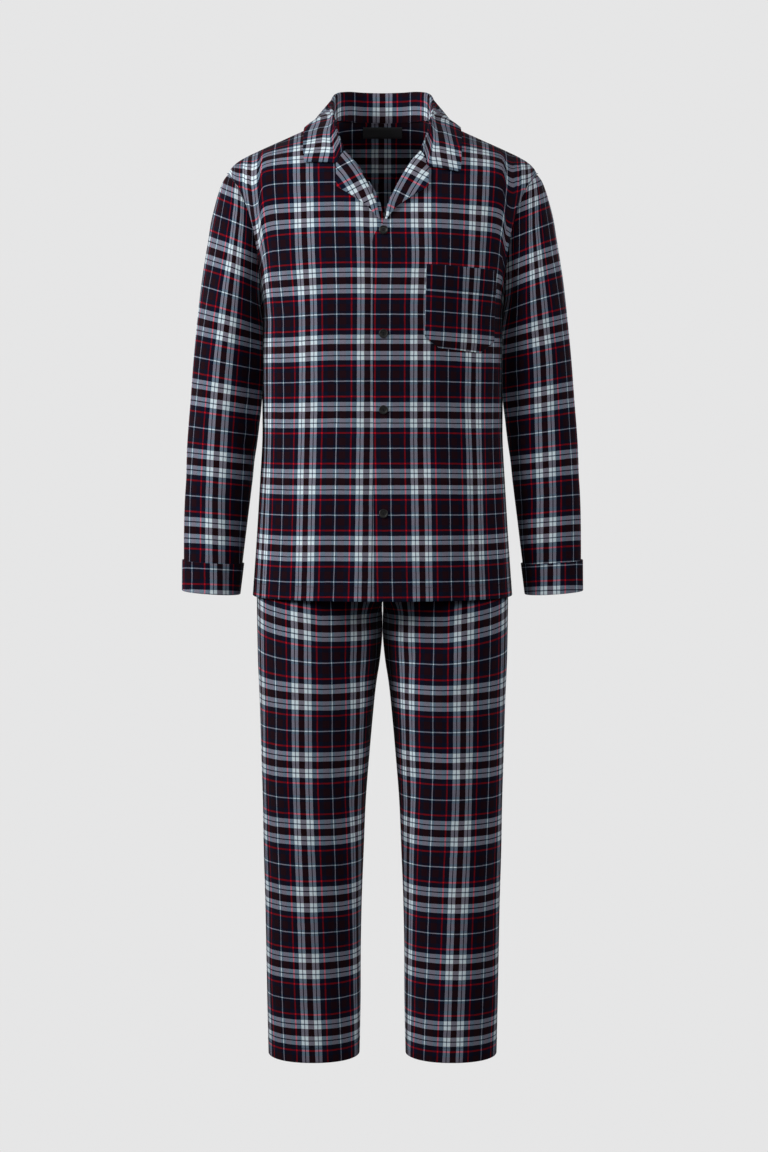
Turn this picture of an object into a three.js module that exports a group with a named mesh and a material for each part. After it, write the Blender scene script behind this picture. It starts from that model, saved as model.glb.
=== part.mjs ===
// A pyjama set in checked brushed cotton, filled out as if worn: a long-sleeved jacket with a
// notched collar, chest pocket and turned cuffs, over straight trousers with an elastic waist.
// Units are millimetres. +Z is up, +Y points to the back, and the origin lies on the centre line
// between the two neck points, where the collar, the front and the back meet on each shoulder.
import * as THREE from "three";

// Driving dimensions
const WALL = 2; // one layer of brushed cotton, with its seam allowances
const SEAM = 0.3; // the gap between two pieces that are sewn together
const JACKET_HEM = -733;
const UNDERARM = -310;
const NECK_HALF = 75; // from the centre line to a neck point
const NECK_Y = 12; // the shoulder seam lies a little behind the side seam
const NECK_BACK = 82; // depth of the neckline at the centre back
const SHOULDER_HALF = 238; // from the centre line to the top of an armhole
const TORSO_SQUARENESS = 2.3; // 2 is an ellipse, more is squarer
const ROUND_FROM = 0.52; // share of the yoke's height below which the cloth hangs straight
const FRONT_COLUMNS = 11;
const NECK_COLUMNS = 4;
const TROUSER_HEM = -1456;
const CROTCH = -772;
const FORK = -690; // where the two legs start to part from the hips
const WAIST = -522; // lower edge of the waistband
const BAND_HEIGHT = 40;
const BAND_WALL = 3;
const BAND_GATHERS = 18;
const BAND_RIPPLE = 1.3;
const LEG_SQUARENESS = 2.15;
const SLEEVE_SQUARENESS = 2.1;
const CUFF_WALL = 2.3;
const CUFF_EASE = 0.45; // between the sleeve and the cuff over it
const BUTTON_RADIUS = 6.8;
const BUTTON_THICK = 2.4;
const BUTTON_SIDES = 20;
const FOLD_RADIUS = 3.4; // the rounded top of the collar

// The torso: half width at the sides, and how far the front and the back stand from the side seam.
// Above the underarm the half width is that of the form the armhole is cut from.
const TORSO = [
  { z: -733, half: 201.3, front: 141, back: 137 },
  { z: -650, half: 195.2, front: 138, back: 132 },
  { z: -556, half: 189.3, front: 135, back: 121 },
  { z: -494, half: 185.8, front: 134, back: 113 },
  { z: -448, half: 184.4, front: 134, back: 110 },
  { z: -400, half: 183.9, front: 136, back: 111 },
  { z: -343, half: 184.4, front: 139, back: 117 },
  { z: -310, half: 186, front: 141, back: 120 },
  { z: -282, half: 189.5, front: 141, back: 122 },
  { z: -243, half: 197.5, front: 141, back: 124 },
  { z: -200, half: 209, front: 138, back: 123 },
  { z: -150, half: 222, front: 129, back: 120 },
  { z: -100, half: 235, front: 115, back: 112 },
  { z: -50, half: 244, front: 101, back: 99 },
  { z: 0, half: 250, front: 90, back: 86 },
];

// The shoulder line, seen from the front, and the height over which the cloth rounds across it.
const SHOULDER = [
  { x: 0, z: 0, round: 78 },
  { x: 75, z: 0, round: 76 },
  { x: 119, z: -19.7, round: 68 },
  { x: 152, z: -34.6, round: 62 },
  { x: 189, z: -51, round: 55 },
  { x: 218, z: -65.3, round: 49 },
  { x: 232, z: -76.6, round: 46 },
  { x: 238, z: -86.5, round: 44 },
];

// The armhole seam, seen from the front.
const ARMHOLE = [
  { z: -310, x: 186 },
  { z: -300, x: 185.8 },
  { z: -282, x: 186 },
  { z: -243, x: 187.2 },
  { z: -211, x: 190 },
  { z: -171, x: 197 },
  { z: -136, x: 208 },
  { z: -108, x: 221.5 },
  { z: -86.5, x: 238 },
];

// The inner edge of each front, seen from the front: down the neckline, the lapel's roll line and
// the button edge. The upper front crosses the centre line, and the lower one lies beneath it.
const NECK_EDGE = [
  { z: -733, upper: -11.5, lower: -15 },
  { z: -400, upper: -13.5, lower: -15 },
  { z: -216, upper: -13.5, lower: -15 },
  { z: -190, upper: -12.5, lower: -13 },
  { z: -168, upper: 2.5, lower: -2 },
  { z: -152, upper: 6, lower: 1.5 },
  { z: -134, upper: 11.5, lower: 6 },
  { z: -101, upper: 28, lower: 25 },
  { z: -76, upper: 44, lower: 43 },
  { z: -60, upper: 57, lower: 57 },
  { z: -30, upper: 68, lower: 68 },
  { z: 0, upper: 75, lower: 75 },
];
const LAP_DROP = 3.1; // how far the lower front sinks beneath the upper one
const LAP = { full: 15, none: 38 }; // its distance from the centre line

// Heights of the yoke rows, as shares from the underarm to the shoulder seam.
const YOKE_ROWS = [0, 0.06, 0.14, 0.21, 0.27, 0.32, 0.4, 0.5, 0.58, 0.66, 0.76, 0.88, 1];
const SIDE_ROWS = 11;

// A sleeve: rings that tilt from the armhole to the wrist. Each ring runs from a height on the
// outer edge to a height on the inner edge, and is this deep to the front and back.
const SLEEVE_RINGS = [
  { out: -86.5, in: -310, depth: 73, y: -4, armhole: 1 },
  { out: -104, in: -316, depth: 78, y: -3, armhole: 0.86 },
  { out: -134, in: -322, depth: 81, y: -2, armhole: 0.66 },
  { out: -170, in: -329, depth: 83, y: -1, armhole: 0.44 },
  { out: -210, in: -337, depth: 83, y: 0, armhole: 0.24 },
  { out: -254, in: -347, depth: 81, y: 1, armhole: 0.1 },
  { out: -300, in: -363, depth: 77, y: 2, armhole: 0 },
  { out: -350, in: -392, depth: 73, y: 2, armhole: 0 },
  { out: -430, in: -455, depth: 66, y: 1, armhole: 0 },
  { out: -520, in: -535, depth: 58, y: -5, armhole: 0 },
  { out: -620, in: -629, depth: 50, y: -12, armhole: 0 },
  { out: -674, in: -680, depth: 46.5, y: -15, armhole: 0 },
  { out: -725, in: -731, depth: 44, y: -18, armhole: 0 },
];
const SLEEVE_OUTER = [
  { z: -725, x: 307.6 },
  { z: -618, x: 306.6 },
  { z: -556, x: 304.6 },
  { z: -494, x: 301.4 },
  { z: -433, x: 296.6 },
  { z: -371, x: 291.6 },
  { z: -310, x: 285.3 },
  { z: -248, x: 278 },
  { z: -187, x: 268.4 },
  { z: -157, x: 263.6 },
  { z: -126, x: 255.8 },
  { z: -111, x: 251.1 },
  { z: -96, x: 244.9 },
  { z: -86.5, x: 238 },
];
const SLEEVE_INNER = [
  { z: -731, x: 222.5 },
  { z: -674, x: 215.4 },
  { z: -618, x: 208.6 },
  { z: -556, x: 201 },
  { z: -525, x: 197.8 },
  { z: -494, x: 193.2 },
  { z: -448, x: 188.6 },
  { z: -400, x: 188 },
  { z: -350, x: 189 },
  { z: -329, x: 189.6 },
  { z: -316, x: 189 },
  { z: -310, x: 186 },
];
const SLEEVE_STEPS = 17;
const SLEEVE_STEP_GROWTH = 1.18; // rings lie closer together near the armhole
const CUFF_FROM = 0.925; // where the cuff starts, as a share of the way down the sleeve
const SLEEVE_ENDS = 0.985; // the sleeve stops just inside the cuff

// The trousers: outer edge and inner edge of a leg from the centre line, and its depths.
const LEG = [
  { z: -1456, outer: 179.7, inner: 36, front: 68, back: 70 },
  { z: -1374, outer: 181.3, inner: 34.4, front: 70, back: 72 },
  { z: -1294, outer: 182.6, inner: 34, front: 73, back: 76 },
  { z: -1215, outer: 183.9, inner: 32.4, front: 77, back: 81 },
  { z: -1136, outer: 186, inner: 29.3, front: 81, back: 86 },
  { z: -1057, outer: 187.2, inner: 26, front: 87, back: 91 },
  { z: -978, outer: 189.3, inner: 19.8, front: 93, back: 96 },
  { z: -899, outer: 191.3, inner: 12.6, front: 100, back: 102 },
  { z: -868, outer: 192.6, inner: 9, front: 103, back: 104 },
  { z: -836, outer: 193.9, inner: 4, front: 105, back: 106 },
  { z: -797, outer: 194.6, inner: 0.6, front: 107, back: 108 },
  { z: -772, outer: 194.9, inner: 0.3, front: 108, back: 109 },
  { z: -743, outer: 195.1, inner: 0.15, front: 109, back: 109 },
  { z: -690, outer: 194.8, inner: 0.15, front: 110, back: 108 },
  { z: -640, outer: 193, inner: 0.15, front: 110, back: 104 },
  { z: -600, outer: 184, inner: 0.15, front: 108, back: 99 },
  { z: -560, outer: 174, inner: 0.15, front: 105, back: 94 },
  { z: -522, outer: 165, inner: 0.15, front: 102, back: 90 },
  { z: -482, outer: 160, inner: 0.15, front: 99, back: 87 },
];
const LEG_ROWS = [
  -1456, -1400, -1344, -1288, -1232, -1176, -1120, -1064, -1008, -955, -905, -862, -828, -800,
  -780, -765, -748, -728, -705, -675, -640, -600, -560, -522,
];
const LEG_COLUMNS = 9;
const LEG_AXIS = 100; // an upright line inside each leg
const HIP_CLEARANCE = 0.35; // the jacket rests on the hips of the trousers

// The largest folds, as soft troughs. Places are shares across and up a piece, sizes are shares
// of it too, slant is in degrees and depth in millimetres, negative for a ridge.
const FRONT_FOLDS = [
  { across: 0.2, up: 0.66, wide: 0.09, long: 0.2, slant: 24, depth: 3.2 },
  { across: 0.34, up: 0.52, wide: 0.08, long: 0.16, slant: 30, depth: -1.8 },
  { across: 0.28, up: 0.2, wide: 0.09, long: 0.24, slant: -4, depth: 2.4 },
  { across: 0.62, up: 0.14, wide: 0.1, long: 0.2, slant: 3, depth: -1.8 },
];
const BACK_FOLDS = [
  { across: 0.3, up: 0.3, wide: 0.05, long: 0.3, slant: 3, depth: 3.4 },
  { across: 0.42, up: 0.22, wide: 0.05, long: 0.22, slant: -2, depth: -2.4 },
  { across: 0.56, up: 0.28, wide: 0.05, long: 0.28, slant: -2, depth: 3 },
  { across: 0.7, up: 0.24, wide: 0.05, long: 0.26, slant: -4, depth: 2.8 },
];
const SLEEVE_FOLDS = [
  { across: 0.13, up: 0.5, wide: 0.055, long: 0.12, slant: 62, depth: 3.4 },
  { across: 0.1, up: 0.41, wide: 0.05, long: 0.1, slant: 70, depth: 2.8 },
  { across: 0.86, up: 0.47, wide: 0.055, long: 0.12, slant: -64, depth: 3 },
  { across: 0.4, up: 0.24, wide: 0.06, long: 0.14, slant: 14, depth: 2 },
];
const LEG_FOLDS = [
  { across: 0.66, up: 0.56, wide: 0.1, long: 0.07, slant: 52, depth: 3.6 },
  { across: 0.5, up: 0.5, wide: 0.1, long: 0.09, slant: 38, depth: -2 },
  { across: 0.3, up: 0.3, wide: 0.12, long: 0.12, slant: 12, depth: 2.4 },
  { across: 0.62, up: 0.14, wide: 0.12, long: 0.12, slant: -8, depth: 2 },
];

// Where the other pieces lie.
const BUTTON_X = 1.5;
const BUTTON_HEIGHTS = [-181, -334, -447, -602];
const POCKET = { left: 65, right: 171, top: -231, drop: 7, tall: 124, corner: 0.16 };
const POCKET_STEPS = 8;
const POCKET_LIFT = 1.5; // how far it stands off the front
const POCKET_BOW = 1.4; // and how much farther towards the side
const POCKET_CUT = 0.42; // how much narrower its lower edge is, as a share of its half width
const LABEL = { half: 31, top: -6, bottom: -23, thick: 0.7 };
// A lapel from its lower tip to the notch: roll line and outer edge, in the front view.
const LAPEL = [
  { share: 0, rollX: 3, rollZ: -166, edgeX: 7, edgeZ: -163 },
  { share: 0.25, rollX: 11, rollZ: -136, edgeX: 22, edgeZ: -146 },
  { share: 0.5, rollX: 27, rollZ: -103, edgeX: 45, edgeZ: -130 },
  { share: 0.75, rollX: 43, rollZ: -78, edgeX: 67.5, edgeZ: -115 },
  { share: 1, rollX: 56, rollZ: -62, edgeX: 69, edgeZ: -82 },
];
const LAPEL_ROWS = 8;
const LAPEL_LIFT = [2.3, 3.6, 3, 2.6, 2.3]; // how high it stands, from the roll line to its edge
// The collar at each point of the neckline, from the notch to the centre back. The outer edge of
// its fall lies on the jacket, where the cloth leans this far over the shoulder in degrees, with
// 90 at the seam. In front, its lower edge turns a corner at the notch.
const COLLAR = [
  { side: "front", stand: 4.4, edgeX: 116, lean: 6.3, bow: 0, notchX: 68.5, notchZ: -80 },
  { side: "front", stand: 6.6, edgeX: 117.5, lean: 21, bow: 0, notchX: 78, notchZ: -61 },
  { side: "front", stand: 10, edgeX: 118, lean: 41, bow: 0, notchX: 88.5, notchZ: -37 },
  { side: "front", stand: 13.5, edgeX: 117, lean: 65, bow: 1.5 },
  { side: "front", stand: 19, edgeX: 115, lean: 90, bow: 1 },
  { side: "back", stand: 31, edgeX: 107, lean: 71, bow: 1 },
  { side: "back", stand: 43, edgeX: 88, lean: 56, bow: 2 },
  { side: "back", stand: 47, edgeX: 51, lean: 48.5, bow: 3 },
  { side: "back", stand: 47, edgeX: 0, lean: 49, bow: 4 },
];
const COLLAR_GAP = 0.4; // between the neckline and the foot of the collar
const COLLAR_LIFT = 4.1; // how far the fall's visible side stands off the jacket
const FALL_STEPS = 5;
const NOTCH_AT = 0.4; // share of the way down the fall

// Small helpers

const vec = (x, y, z) => new THREE.Vector3(x, y, z);
const clamp = (value, low, high) => Math.min(high, Math.max(low, value));
const mix = (a, b, share) => a + (b - a) * share;
const degrees = (angle) => (angle * Math.PI) / 180;

function ease(from, to, value) {
  const share = clamp((value - from) / (to - from), 0, 1);
  return share * share * (3 - 2 * share);
}

// A smooth curve through one column of a table, by the values of its key column.
function through(table, key, column) {
  const rows = [...table].sort((a, b) => a[key] - b[key]);
  const last = rows.length - 1;
  const slope = (i) => {
    const before = rows[Math.max(i - 1, 0)];
    const after = rows[Math.min(i + 1, last)];
    return (after[column] - before[column]) / (after[key] - before[key]);
  };
  return (place) => {
    const at = clamp(place, rows[0][key], rows[last][key]);
    let i = 0;
    while (i < last - 1 && at > rows[i + 1][key]) i += 1;
    const span = rows[i + 1][key] - rows[i][key];
    const s = (at - rows[i][key]) / span;
    const rise = rows[i][column] * (1 - 3 * s * s + 2 * s * s * s);
    const fall = rows[i + 1][column] * (3 * s * s - 2 * s * s * s);
    const leave = slope(i) * span * (s - 2 * s * s + s * s * s);
    const arrive = slope(i + 1) * span * (s * s * s - s * s);
    return rise + fall + leave + arrive;
  };
}

// The shape of a superellipse: cosine and sine bent towards a rounded square.
const bent = (value, squareness) => Math.sign(value) * Math.abs(value) ** (2 / squareness);

// Outward directions at each point of a grid of rows. A closed grid joins its last column to
// its first.
function normalsOf(grid, closed) {
  const rows = grid.length;
  const columns = grid[0].length;
  return grid.map((row, j) =>
    row.map((_, i) => {
      const left = closed ? (i + columns - 1) % columns : Math.max(i - 1, 0);
      const right = closed ? (i + 1) % columns : Math.min(i + 1, columns - 1);
      const across = row[right].clone().sub(row[left]);
      const up = grid[Math.min(j + 1, rows - 1)][i].clone().sub(grid[Math.max(j - 1, 0)][i]);
      return across.cross(up).normalize();
    }),
  );
}

// A closed cloth wall between an outer and an inner grid of points.
function wallBetween(outer, inner, closed) {
  const rows = outer.length;
  const columns = outer[0].length;
  const positions = [...outer.flat(), ...inner.flat()].flatMap((p) => [p.x, p.y, p.z]);
  const front = (j, i) => j * columns + (i % columns);
  const behind = (j, i) => rows * columns + front(j, i);
  const faces = [];
  const quad = (a, b, c, d) => faces.push(a, b, c, a, c, d);
  const spans = closed ? columns : columns - 1;
  for (let j = 0; j < rows - 1; j += 1) {
    for (let i = 0; i < spans; i += 1) {
      quad(front(j, i), front(j, i + 1), front(j + 1, i + 1), front(j + 1, i));
      quad(behind(j, i), behind(j + 1, i), behind(j + 1, i + 1), behind(j, i + 1));
    }
  }
  for (let i = 0; i < spans; i += 1) {
    quad(front(0, i), behind(0, i), behind(0, i + 1), front(0, i + 1));
    quad(front(rows - 1, i), front(rows - 1, i + 1), behind(rows - 1, i + 1), behind(rows - 1, i));
  }
  for (let j = 0; j < rows - 1 && !closed; j += 1) {
    quad(front(j, 0), front(j + 1, 0), behind(j + 1, 0), behind(j, 0));
    const i = columns - 1;
    quad(front(j, i), behind(j, i), behind(j + 1, i), front(j + 1, i));
  }
  const geometry = new THREE.BufferGeometry();
  geometry.setAttribute("position", new THREE.Float32BufferAttribute(positions, 3));
  geometry.setIndex(faces);
  return facingOut(geometry);
}

// Turns every face of a closed geometry round if it encloses its volume inside out.
function facingOut(geometry) {
  const place = geometry.getAttribute("position");
  const index = geometry.getIndex().array;
  const corner = (k) => new THREE.Vector3().fromBufferAttribute(place, index[k]);
  let volume = 0;
  for (let k = 0; k < index.length; k += 3) {
    volume += corner(k).dot(corner(k + 1).cross(corner(k + 2)));
  }
  if (volume < 0) {
    for (let k = 0; k < index.length; k += 3) {
      [index[k + 1], index[k + 2]] = [index[k + 2], index[k + 1]];
    }
  }
  geometry.computeVertexNormals();
  return geometry;
}

const moved = (grid, directions, distance) =>
  grid.map((row, j) => row.map((p, i) => p.clone().addScaledVector(directions[j][i], distance)));

const mirrored = (grid) => grid.map((row) => row.map((p) => vec(-p.x, p.y, p.z)));

// How deep the folds are at a place on a piece. Folds die out towards its seams.
function foldDepth(folds, across, up) {
  const calm = ease(0, 0.1, across) * ease(0, 0.1, 1 - across) * ease(0, 0.06, 1 - up);
  return folds.reduce((sum, fold) => {
    const angle = degrees(fold.slant);
    const dx = across - fold.across;
    const dy = up - fold.up;
    const beside = (dx * Math.cos(angle) + dy * Math.sin(angle)) / fold.wide;
    const along = (dy * Math.cos(angle) - dx * Math.sin(angle)) / fold.long;
    return sum + calm * fold.depth * Math.exp(-beside * beside - along * along);
  }, 0);
}

// Presses the folds into a grid along its outward directions.
function pressFolds(grid, directions, folds) {
  const rows = grid.length - 1;
  const columns = grid[0].length - 1;
  return grid.map((row, j) =>
    row.map((p, i) =>
      p.clone().addScaledVector(directions[j][i], -foldDepth(folds, i / columns, j / rows)),
    ),
  );
}

// The jacket's form

const torsoHalf = through(TORSO, "z", "half");
const torsoDepth = { front: through(TORSO, "z", "front"), back: through(TORSO, "z", "back") };
const shoulderHeight = through(SHOULDER, "x", "z");
const shoulderRound = through(SHOULDER, "x", "round");
const armholeX = through(ARMHOLE, "z", "x");
const neckEdge = { upper: through(NECK_EDGE, "z", "upper"), lower: through(NECK_EDGE, "z", "lower") };
const facing = { front: -1, back: 1 };

// How far the hanging cloth stands from the plane of the side seams.
function hangingDepth(side, x, z) {
  const share = clamp(Math.abs(x) / torsoHalf(z), 0, 1);
  return torsoDepth[side](z) * (1 - share ** TORSO_SQUARENESS) ** (1 / TORSO_SQUARENESS);
}

// Depth of the piece's top edge: the shoulder seam, or the neckline of the back.
function topDepth(side, x) {
  const across = Math.abs(x);
  if (across >= NECK_HALF) {
    return mix(NECK_Y, NECK_Y - 4, (across - NECK_HALF) / (SHOULDER_HALF - NECK_HALF));
  }
  const neck = side === "back" ? (NECK_BACK - NECK_Y) * Math.sqrt(1 - (across / NECK_HALF) ** 2) : 0;
  return NECK_Y + neck;
}

// A point of the yoke: x across, and its height as a share from the underarm to the top edge.
function yokePoint(side, x, share) {
  const across = Math.abs(x);
  const round = shoulderRound(across);
  const start = shoulderHeight(across) - round;
  if (share <= ROUND_FROM) {
    const z = mix(UNDERARM, start, share / ROUND_FROM);
    return vec(x, facing[side] * hangingDepth(side, x, z), z);
  }
  const lean = ((share - ROUND_FROM) / (1 - ROUND_FROM)) * (Math.PI / 2);
  const z = start + round * Math.sin(lean);
  const hanging = facing[side] * hangingDepth(side, x, z);
  const y = mix(topDepth(side, x), hanging, Math.cos(lean));
  return vec(x, y, z);
}

// The outward direction of the yoke where the cloth leans this far over the shoulder.
function yokeNormal(side, x, lean) {
  const share = mix(ROUND_FROM, 1, lean / 90);
  const across = yokePoint(side, x + 1, share).sub(yokePoint(side, x - 1, share));
  const up = yokePoint(side, x, share).sub(yokePoint(side, x, share - 0.01));
  return across.cross(up).normalize().multiplyScalar(-facing[side]);
}

// A point of the jacket at a given height, wherever it lies on the form.
function jacketPoint(side, x, z) {
  if (z <= UNDERARM) return vec(x, facing[side] * hangingDepth(side, x, z), z);
  let low = 0;
  let high = 1;
  for (let step = 0; step < 24; step += 1) {
    const middle = (low + high) / 2;
    if (yokePoint(side, x, middle).z < z) low = middle;
    else high = middle;
  }
  return yokePoint(side, x, (low + high) / 2);
}

function jacketNormal(side, x, z) {
  const step = 2;
  const across = jacketPoint(side, x + step, z).sub(jacketPoint(side, x - step, z));
  const up = jacketPoint(side, x, z + step).sub(jacketPoint(side, x, z - step));
  return across.cross(up).normalize().multiplyScalar(side === "front" ? 1 : -1);
}

const offJacket = (side, x, z, distance) =>
  jacketPoint(side, x, z).addScaledVector(jacketNormal(side, x, z), distance);

// Where a seam that is known by its front view crosses a yoke row.
function seamX(edge, side, share) {
  let x = edge(yokePoint(side, NECK_HALF, share).z);
  for (let step = 0; step < 40; step += 1) x = mix(x, edge(yokePoint(side, x, share).z), 0.5);
  return x;
}

// How the columns of a row share out the way from its outer to its inner edge.
function columnShares(outer, inner, half, columns) {
  const angleOf = (x) => Math.acos(bent(clamp(x / half, -1, 1), 4 / TORSO_SQUARENESS));
  const from = angleOf(outer);
  const to = angleOf(inner);
  const xAt = (i) => half * bent(Math.cos(mix(from, to, i / columns)), TORSO_SQUARENESS);
  return Array.from({ length: columns + 1 }, (_, i) => (xAt(i) - inner) / (outer - inner));
}

const sideHeights = Array.from({ length: SIDE_ROWS }, (_, j) =>
  mix(JACKET_HEM, UNDERARM, j / SIDE_ROWS),
);

// How the columns share out the shoulder seam, closer together at the armhole.
const topSpread = (i) => (i / FRONT_COLUMNS) ** 1.35;

// The rows of one front, on the side where x is positive, from the side seam to its inner edge.
function frontGrid(edge) {
  const low = sideHeights.map((z) => {
    const outer = torsoHalf(z);
    const shares = columnShares(outer, edge(z), outer, FRONT_COLUMNS);
    return shares.map((share, i) =>
      vec(mix(edge(z), outer, share), i ? -hangingDepth("front", mix(edge(z), outer, share), z) : 0, z),
    );
  });
  const high = YOKE_ROWS.map((share) => {
    const outer = seamX(armholeX, "front", share);
    const inner = seamX(edge, "front", share);
    const half = torsoHalf(yokePoint("front", outer, share).z);
    const spread = columnShares(outer, inner, Math.max(half, outer), FRONT_COLUMNS);
    return spread.map((part, i) => {
      const even = 1 - topSpread(i);
      return yokePoint("front", mix(inner, outer, mix(part, even, ease(0.5, 1, share))), share);
    });
  });
  return [...low, ...high];
}

// The back, from one side seam to the other.
function backGrid() {
  const half = FRONT_COLUMNS + NECK_COLUMNS;
  const topShare = (i) => {
    if (i <= FRONT_COLUMNS) return mix(1, NECK_HALF / SHOULDER_HALF, topSpread(i));
    const turn = ((i - FRONT_COLUMNS) / NECK_COLUMNS) * (Math.PI / 2);
    return (NECK_HALF / SHOULDER_HALF) * Math.cos(turn);
  };
  const widen = (points) => [...points, ...points.slice(0, -1).reverse().map((p) => vec(-p.x, p.y, p.z))];
  const low = sideHeights.map((z) => {
    const outer = torsoHalf(z);
    const shares = columnShares(outer, 0, outer, half);
    return widen(shares.map((s, i) => vec(outer * s, i ? hangingDepth("back", outer * s, z) : 0, z)));
  });
  const high = YOKE_ROWS.map((share) => {
    const outer = seamX(armholeX, "back", share);
    const shares = columnShares(outer, 0, torsoHalf(yokePoint("back", outer, share).z), half);
    const towardsTop = ease(0.3, 1, share);
    return widen(
      shares.map((s, i) => yokePoint("back", outer * mix(s, topShare(i), towardsTop), share)),
    );
  });
  return [...low, ...high];
}

// The jacket's walls

function sheetWall(grid, directions, thickness, closed = false) {
  return wallBetween(grid, moved(grid, directions, -thickness), closed);
}

// A panel's grid and its outward directions, the same on the other side of the centre line.
const otherSide = ({ grid, out }) => ({ grid: mirrored(grid), out: mirrored(out) });
const panelWall = ({ grid, out }, thickness = WALL, closed = false) =>
  sheetWall(grid, out, thickness, closed);

// Outward directions of a grid, which point away from an upright line through a given point.
function outwards(grid, closed = false, inside = vec(0, 0, 0)) {
  const out = normalsOf(grid, closed);
  let score = 0;
  grid.forEach((row, j) =>
    row.forEach((p, i) => {
      score += out[j][i].dot(vec(p.x - inside.x, p.y - inside.y, 0));
    }),
  );
  out.forEach((row) => row.forEach((n) => n.multiplyScalar(Math.sign(score))));
  return out;
}

// Where the front meets the back, both walls end square to the seam, a hair apart.
function squareSeams({ grid, out }, side, columns) {
  const top = grid.length - 1;
  grid.forEach((row, j) =>
    row.forEach((p, i) => {
      const onSide = columns.includes(i) && j <= SIDE_ROWS;
      const onShoulder = j === top && Math.abs(p.x) >= NECK_HALF - 0.01;
      if (columns.includes(i) && j === top - 1) out[j][i].y *= 0.3;
      if (!onSide && !onShoulder) return;
      out[j][i].setY(0);
      p.y += (facing[side] * SEAM) / 2;
    }),
  );
}

// The rows of a sleeve, on the side where x is positive. Ring 0 is the armhole itself.
function sleeveRings(front, back) {
  const frontArm = front.slice(SIDE_ROWS).map((row) => row[0]);
  const backArm = back.slice(SIDE_ROWS).map((row) => row[0]);
  const count = frontArm.length - 1;
  const armhole = [...frontArm, ...backArm.slice(1, count).reverse()].map((p) => p.clone());
  const angles = ringAngles(armhole, count);
  const outerX = through(SLEEVE_OUTER, "z", "x");
  const innerX = through(SLEEVE_INNER, "z", "x");
  const rows = SLEEVE_RINGS.map((row, place) => ({ ...row, place }));
  const at = Object.fromEntries(
    ["out", "in", "depth", "y", "armhole"].map((name) => [name, through(rows, "place", name)]),
  );
  const oval = (place, angle) => {
    const outside = vec(outerX(at.out(place)), 0, at.out(place));
    const inside = vec(innerX(at.in(place)), 0, at.in(place));
    const across = bent(Math.cos(angle), SLEEVE_SQUARENESS);
    const p = inside.clone().lerp(outside, (1 - across) / 2);
    p.y = at.y(place) - at.depth(place) * bent(Math.sin(angle), SLEEVE_SQUARENESS);
    return p;
  };
  const shift = armhole.map((p, i) => p.clone().sub(oval(0, angles[i])));
  const last = rows.length - 1;
  const ring = (place) =>
    angles.map((angle, i) =>
      oval(place, angle).addScaledVector(shift[i], Math.max(0, at.armhole(place))),
    );
  return { ring, last, top: count };
}

// The angle of each armhole point, by the length of seam up to it.
function ringAngles(armhole, count) {
  const lengths = [0];
  for (let i = 1; i <= armhole.length; i += 1) {
    lengths.push(lengths[i - 1] + armhole[i % armhole.length].distanceTo(armhole[i - 1]));
  }
  const top = lengths[count];
  const whole = lengths[armhole.length];
  return armhole.map((_, i) =>
    i <= count ? (Math.PI * lengths[i]) / top : Math.PI * (1 + (lengths[i] - top) / (whole - top)),
  );
}

// The body panels that meet the sleeve at each point of its first ring.
function panelsAt(i, sleeve, front, back) {
  const around = sleeve.grid[0].length;
  const beside = [];
  if (i <= sleeve.top) beside.push({ panel: front, j: SIDE_ROWS + i });
  if (i >= sleeve.top) beside.push({ panel: back, j: SIDE_ROWS + around - i });
  if (i === 0) beside.push({ panel: back, j: SIDE_ROWS });
  return beside;
}

// Sews the sleeve to the body: a gap all round, and a shared mitre where the cloth turns over
// the shoulder into the sleeve. In the hollow below, each wall keeps its own direction.
function sewArmhole(sleeve, front, back) {
  const start = sleeve.grid[0].map((p) => p.clone());
  start.forEach((p, i) => {
    const beside = panelsAt(i, sleeve, front, back);
    const { panel, j } = beside[0];
    const normal = panel.out[j][0];
    const away = i === 0 ? vec(1, 0, 0) : p.clone().sub(panel.grid[j][1]);
    away.addScaledVector(normal, -away.dot(normal)).normalize();
    const onward = sleeve.grid[1][i].clone().sub(p).normalize();
    const turn = normal.dot(onward);
    const own = sleeve.out[0][i];
    if (turn < -0.06) {
      const shared = normal.clone().add(own).normalize();
      shared.multiplyScalar(1 / Math.max(0.6, shared.dot(normal)));
      own.copy(shared);
      beside.forEach((b) => b.panel.out[b.j][0].copy(shared));
    }
    const hollow = clamp(turn * 4 + 0.5, 0, 1);
    sleeve.grid[0][i].addScaledVector(away, SEAM * 1.3).addScaledVector(normal, SEAM * hollow);
  });
}

// A sleeve from the armhole to just inside its cuff, and the turned cuff over its end.
function buildSleeve(front, back) {
  const { ring, last, top } = sleeveRings(front.grid, back.grid);
  const place = (j) => last * SLEEVE_ENDS * (j / SLEEVE_STEPS) ** SLEEVE_STEP_GROWTH;
  const grid = Array.from({ length: SLEEVE_STEPS + 1 }, (_, j) => ring(place(j)));
  const wrist = grid[grid.length - 1];
  const axis = wrist.reduce((sum, p) => sum.add(p), vec(0, 0, 0)).divideScalar(wrist.length);
  const sleeve = { grid, out: outwards(grid, true, axis), top };
  sewArmhole(sleeve, front, back);
  sleeve.grid = foldSleeve(sleeve);
  const rings = [CUFF_FROM, (CUFF_FROM + 1) / 2, 1].map((share) => ring(share * last));
  const level = outwards(rings, true, axis).map((row) =>
    row.map((n) => n.setZ(n.z * 0.3).normalize()),
  );
  return { sleeve, cuff: { grid: moved(rings, level, CUFF_EASE + CUFF_WALL), out: level } };
}

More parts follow.
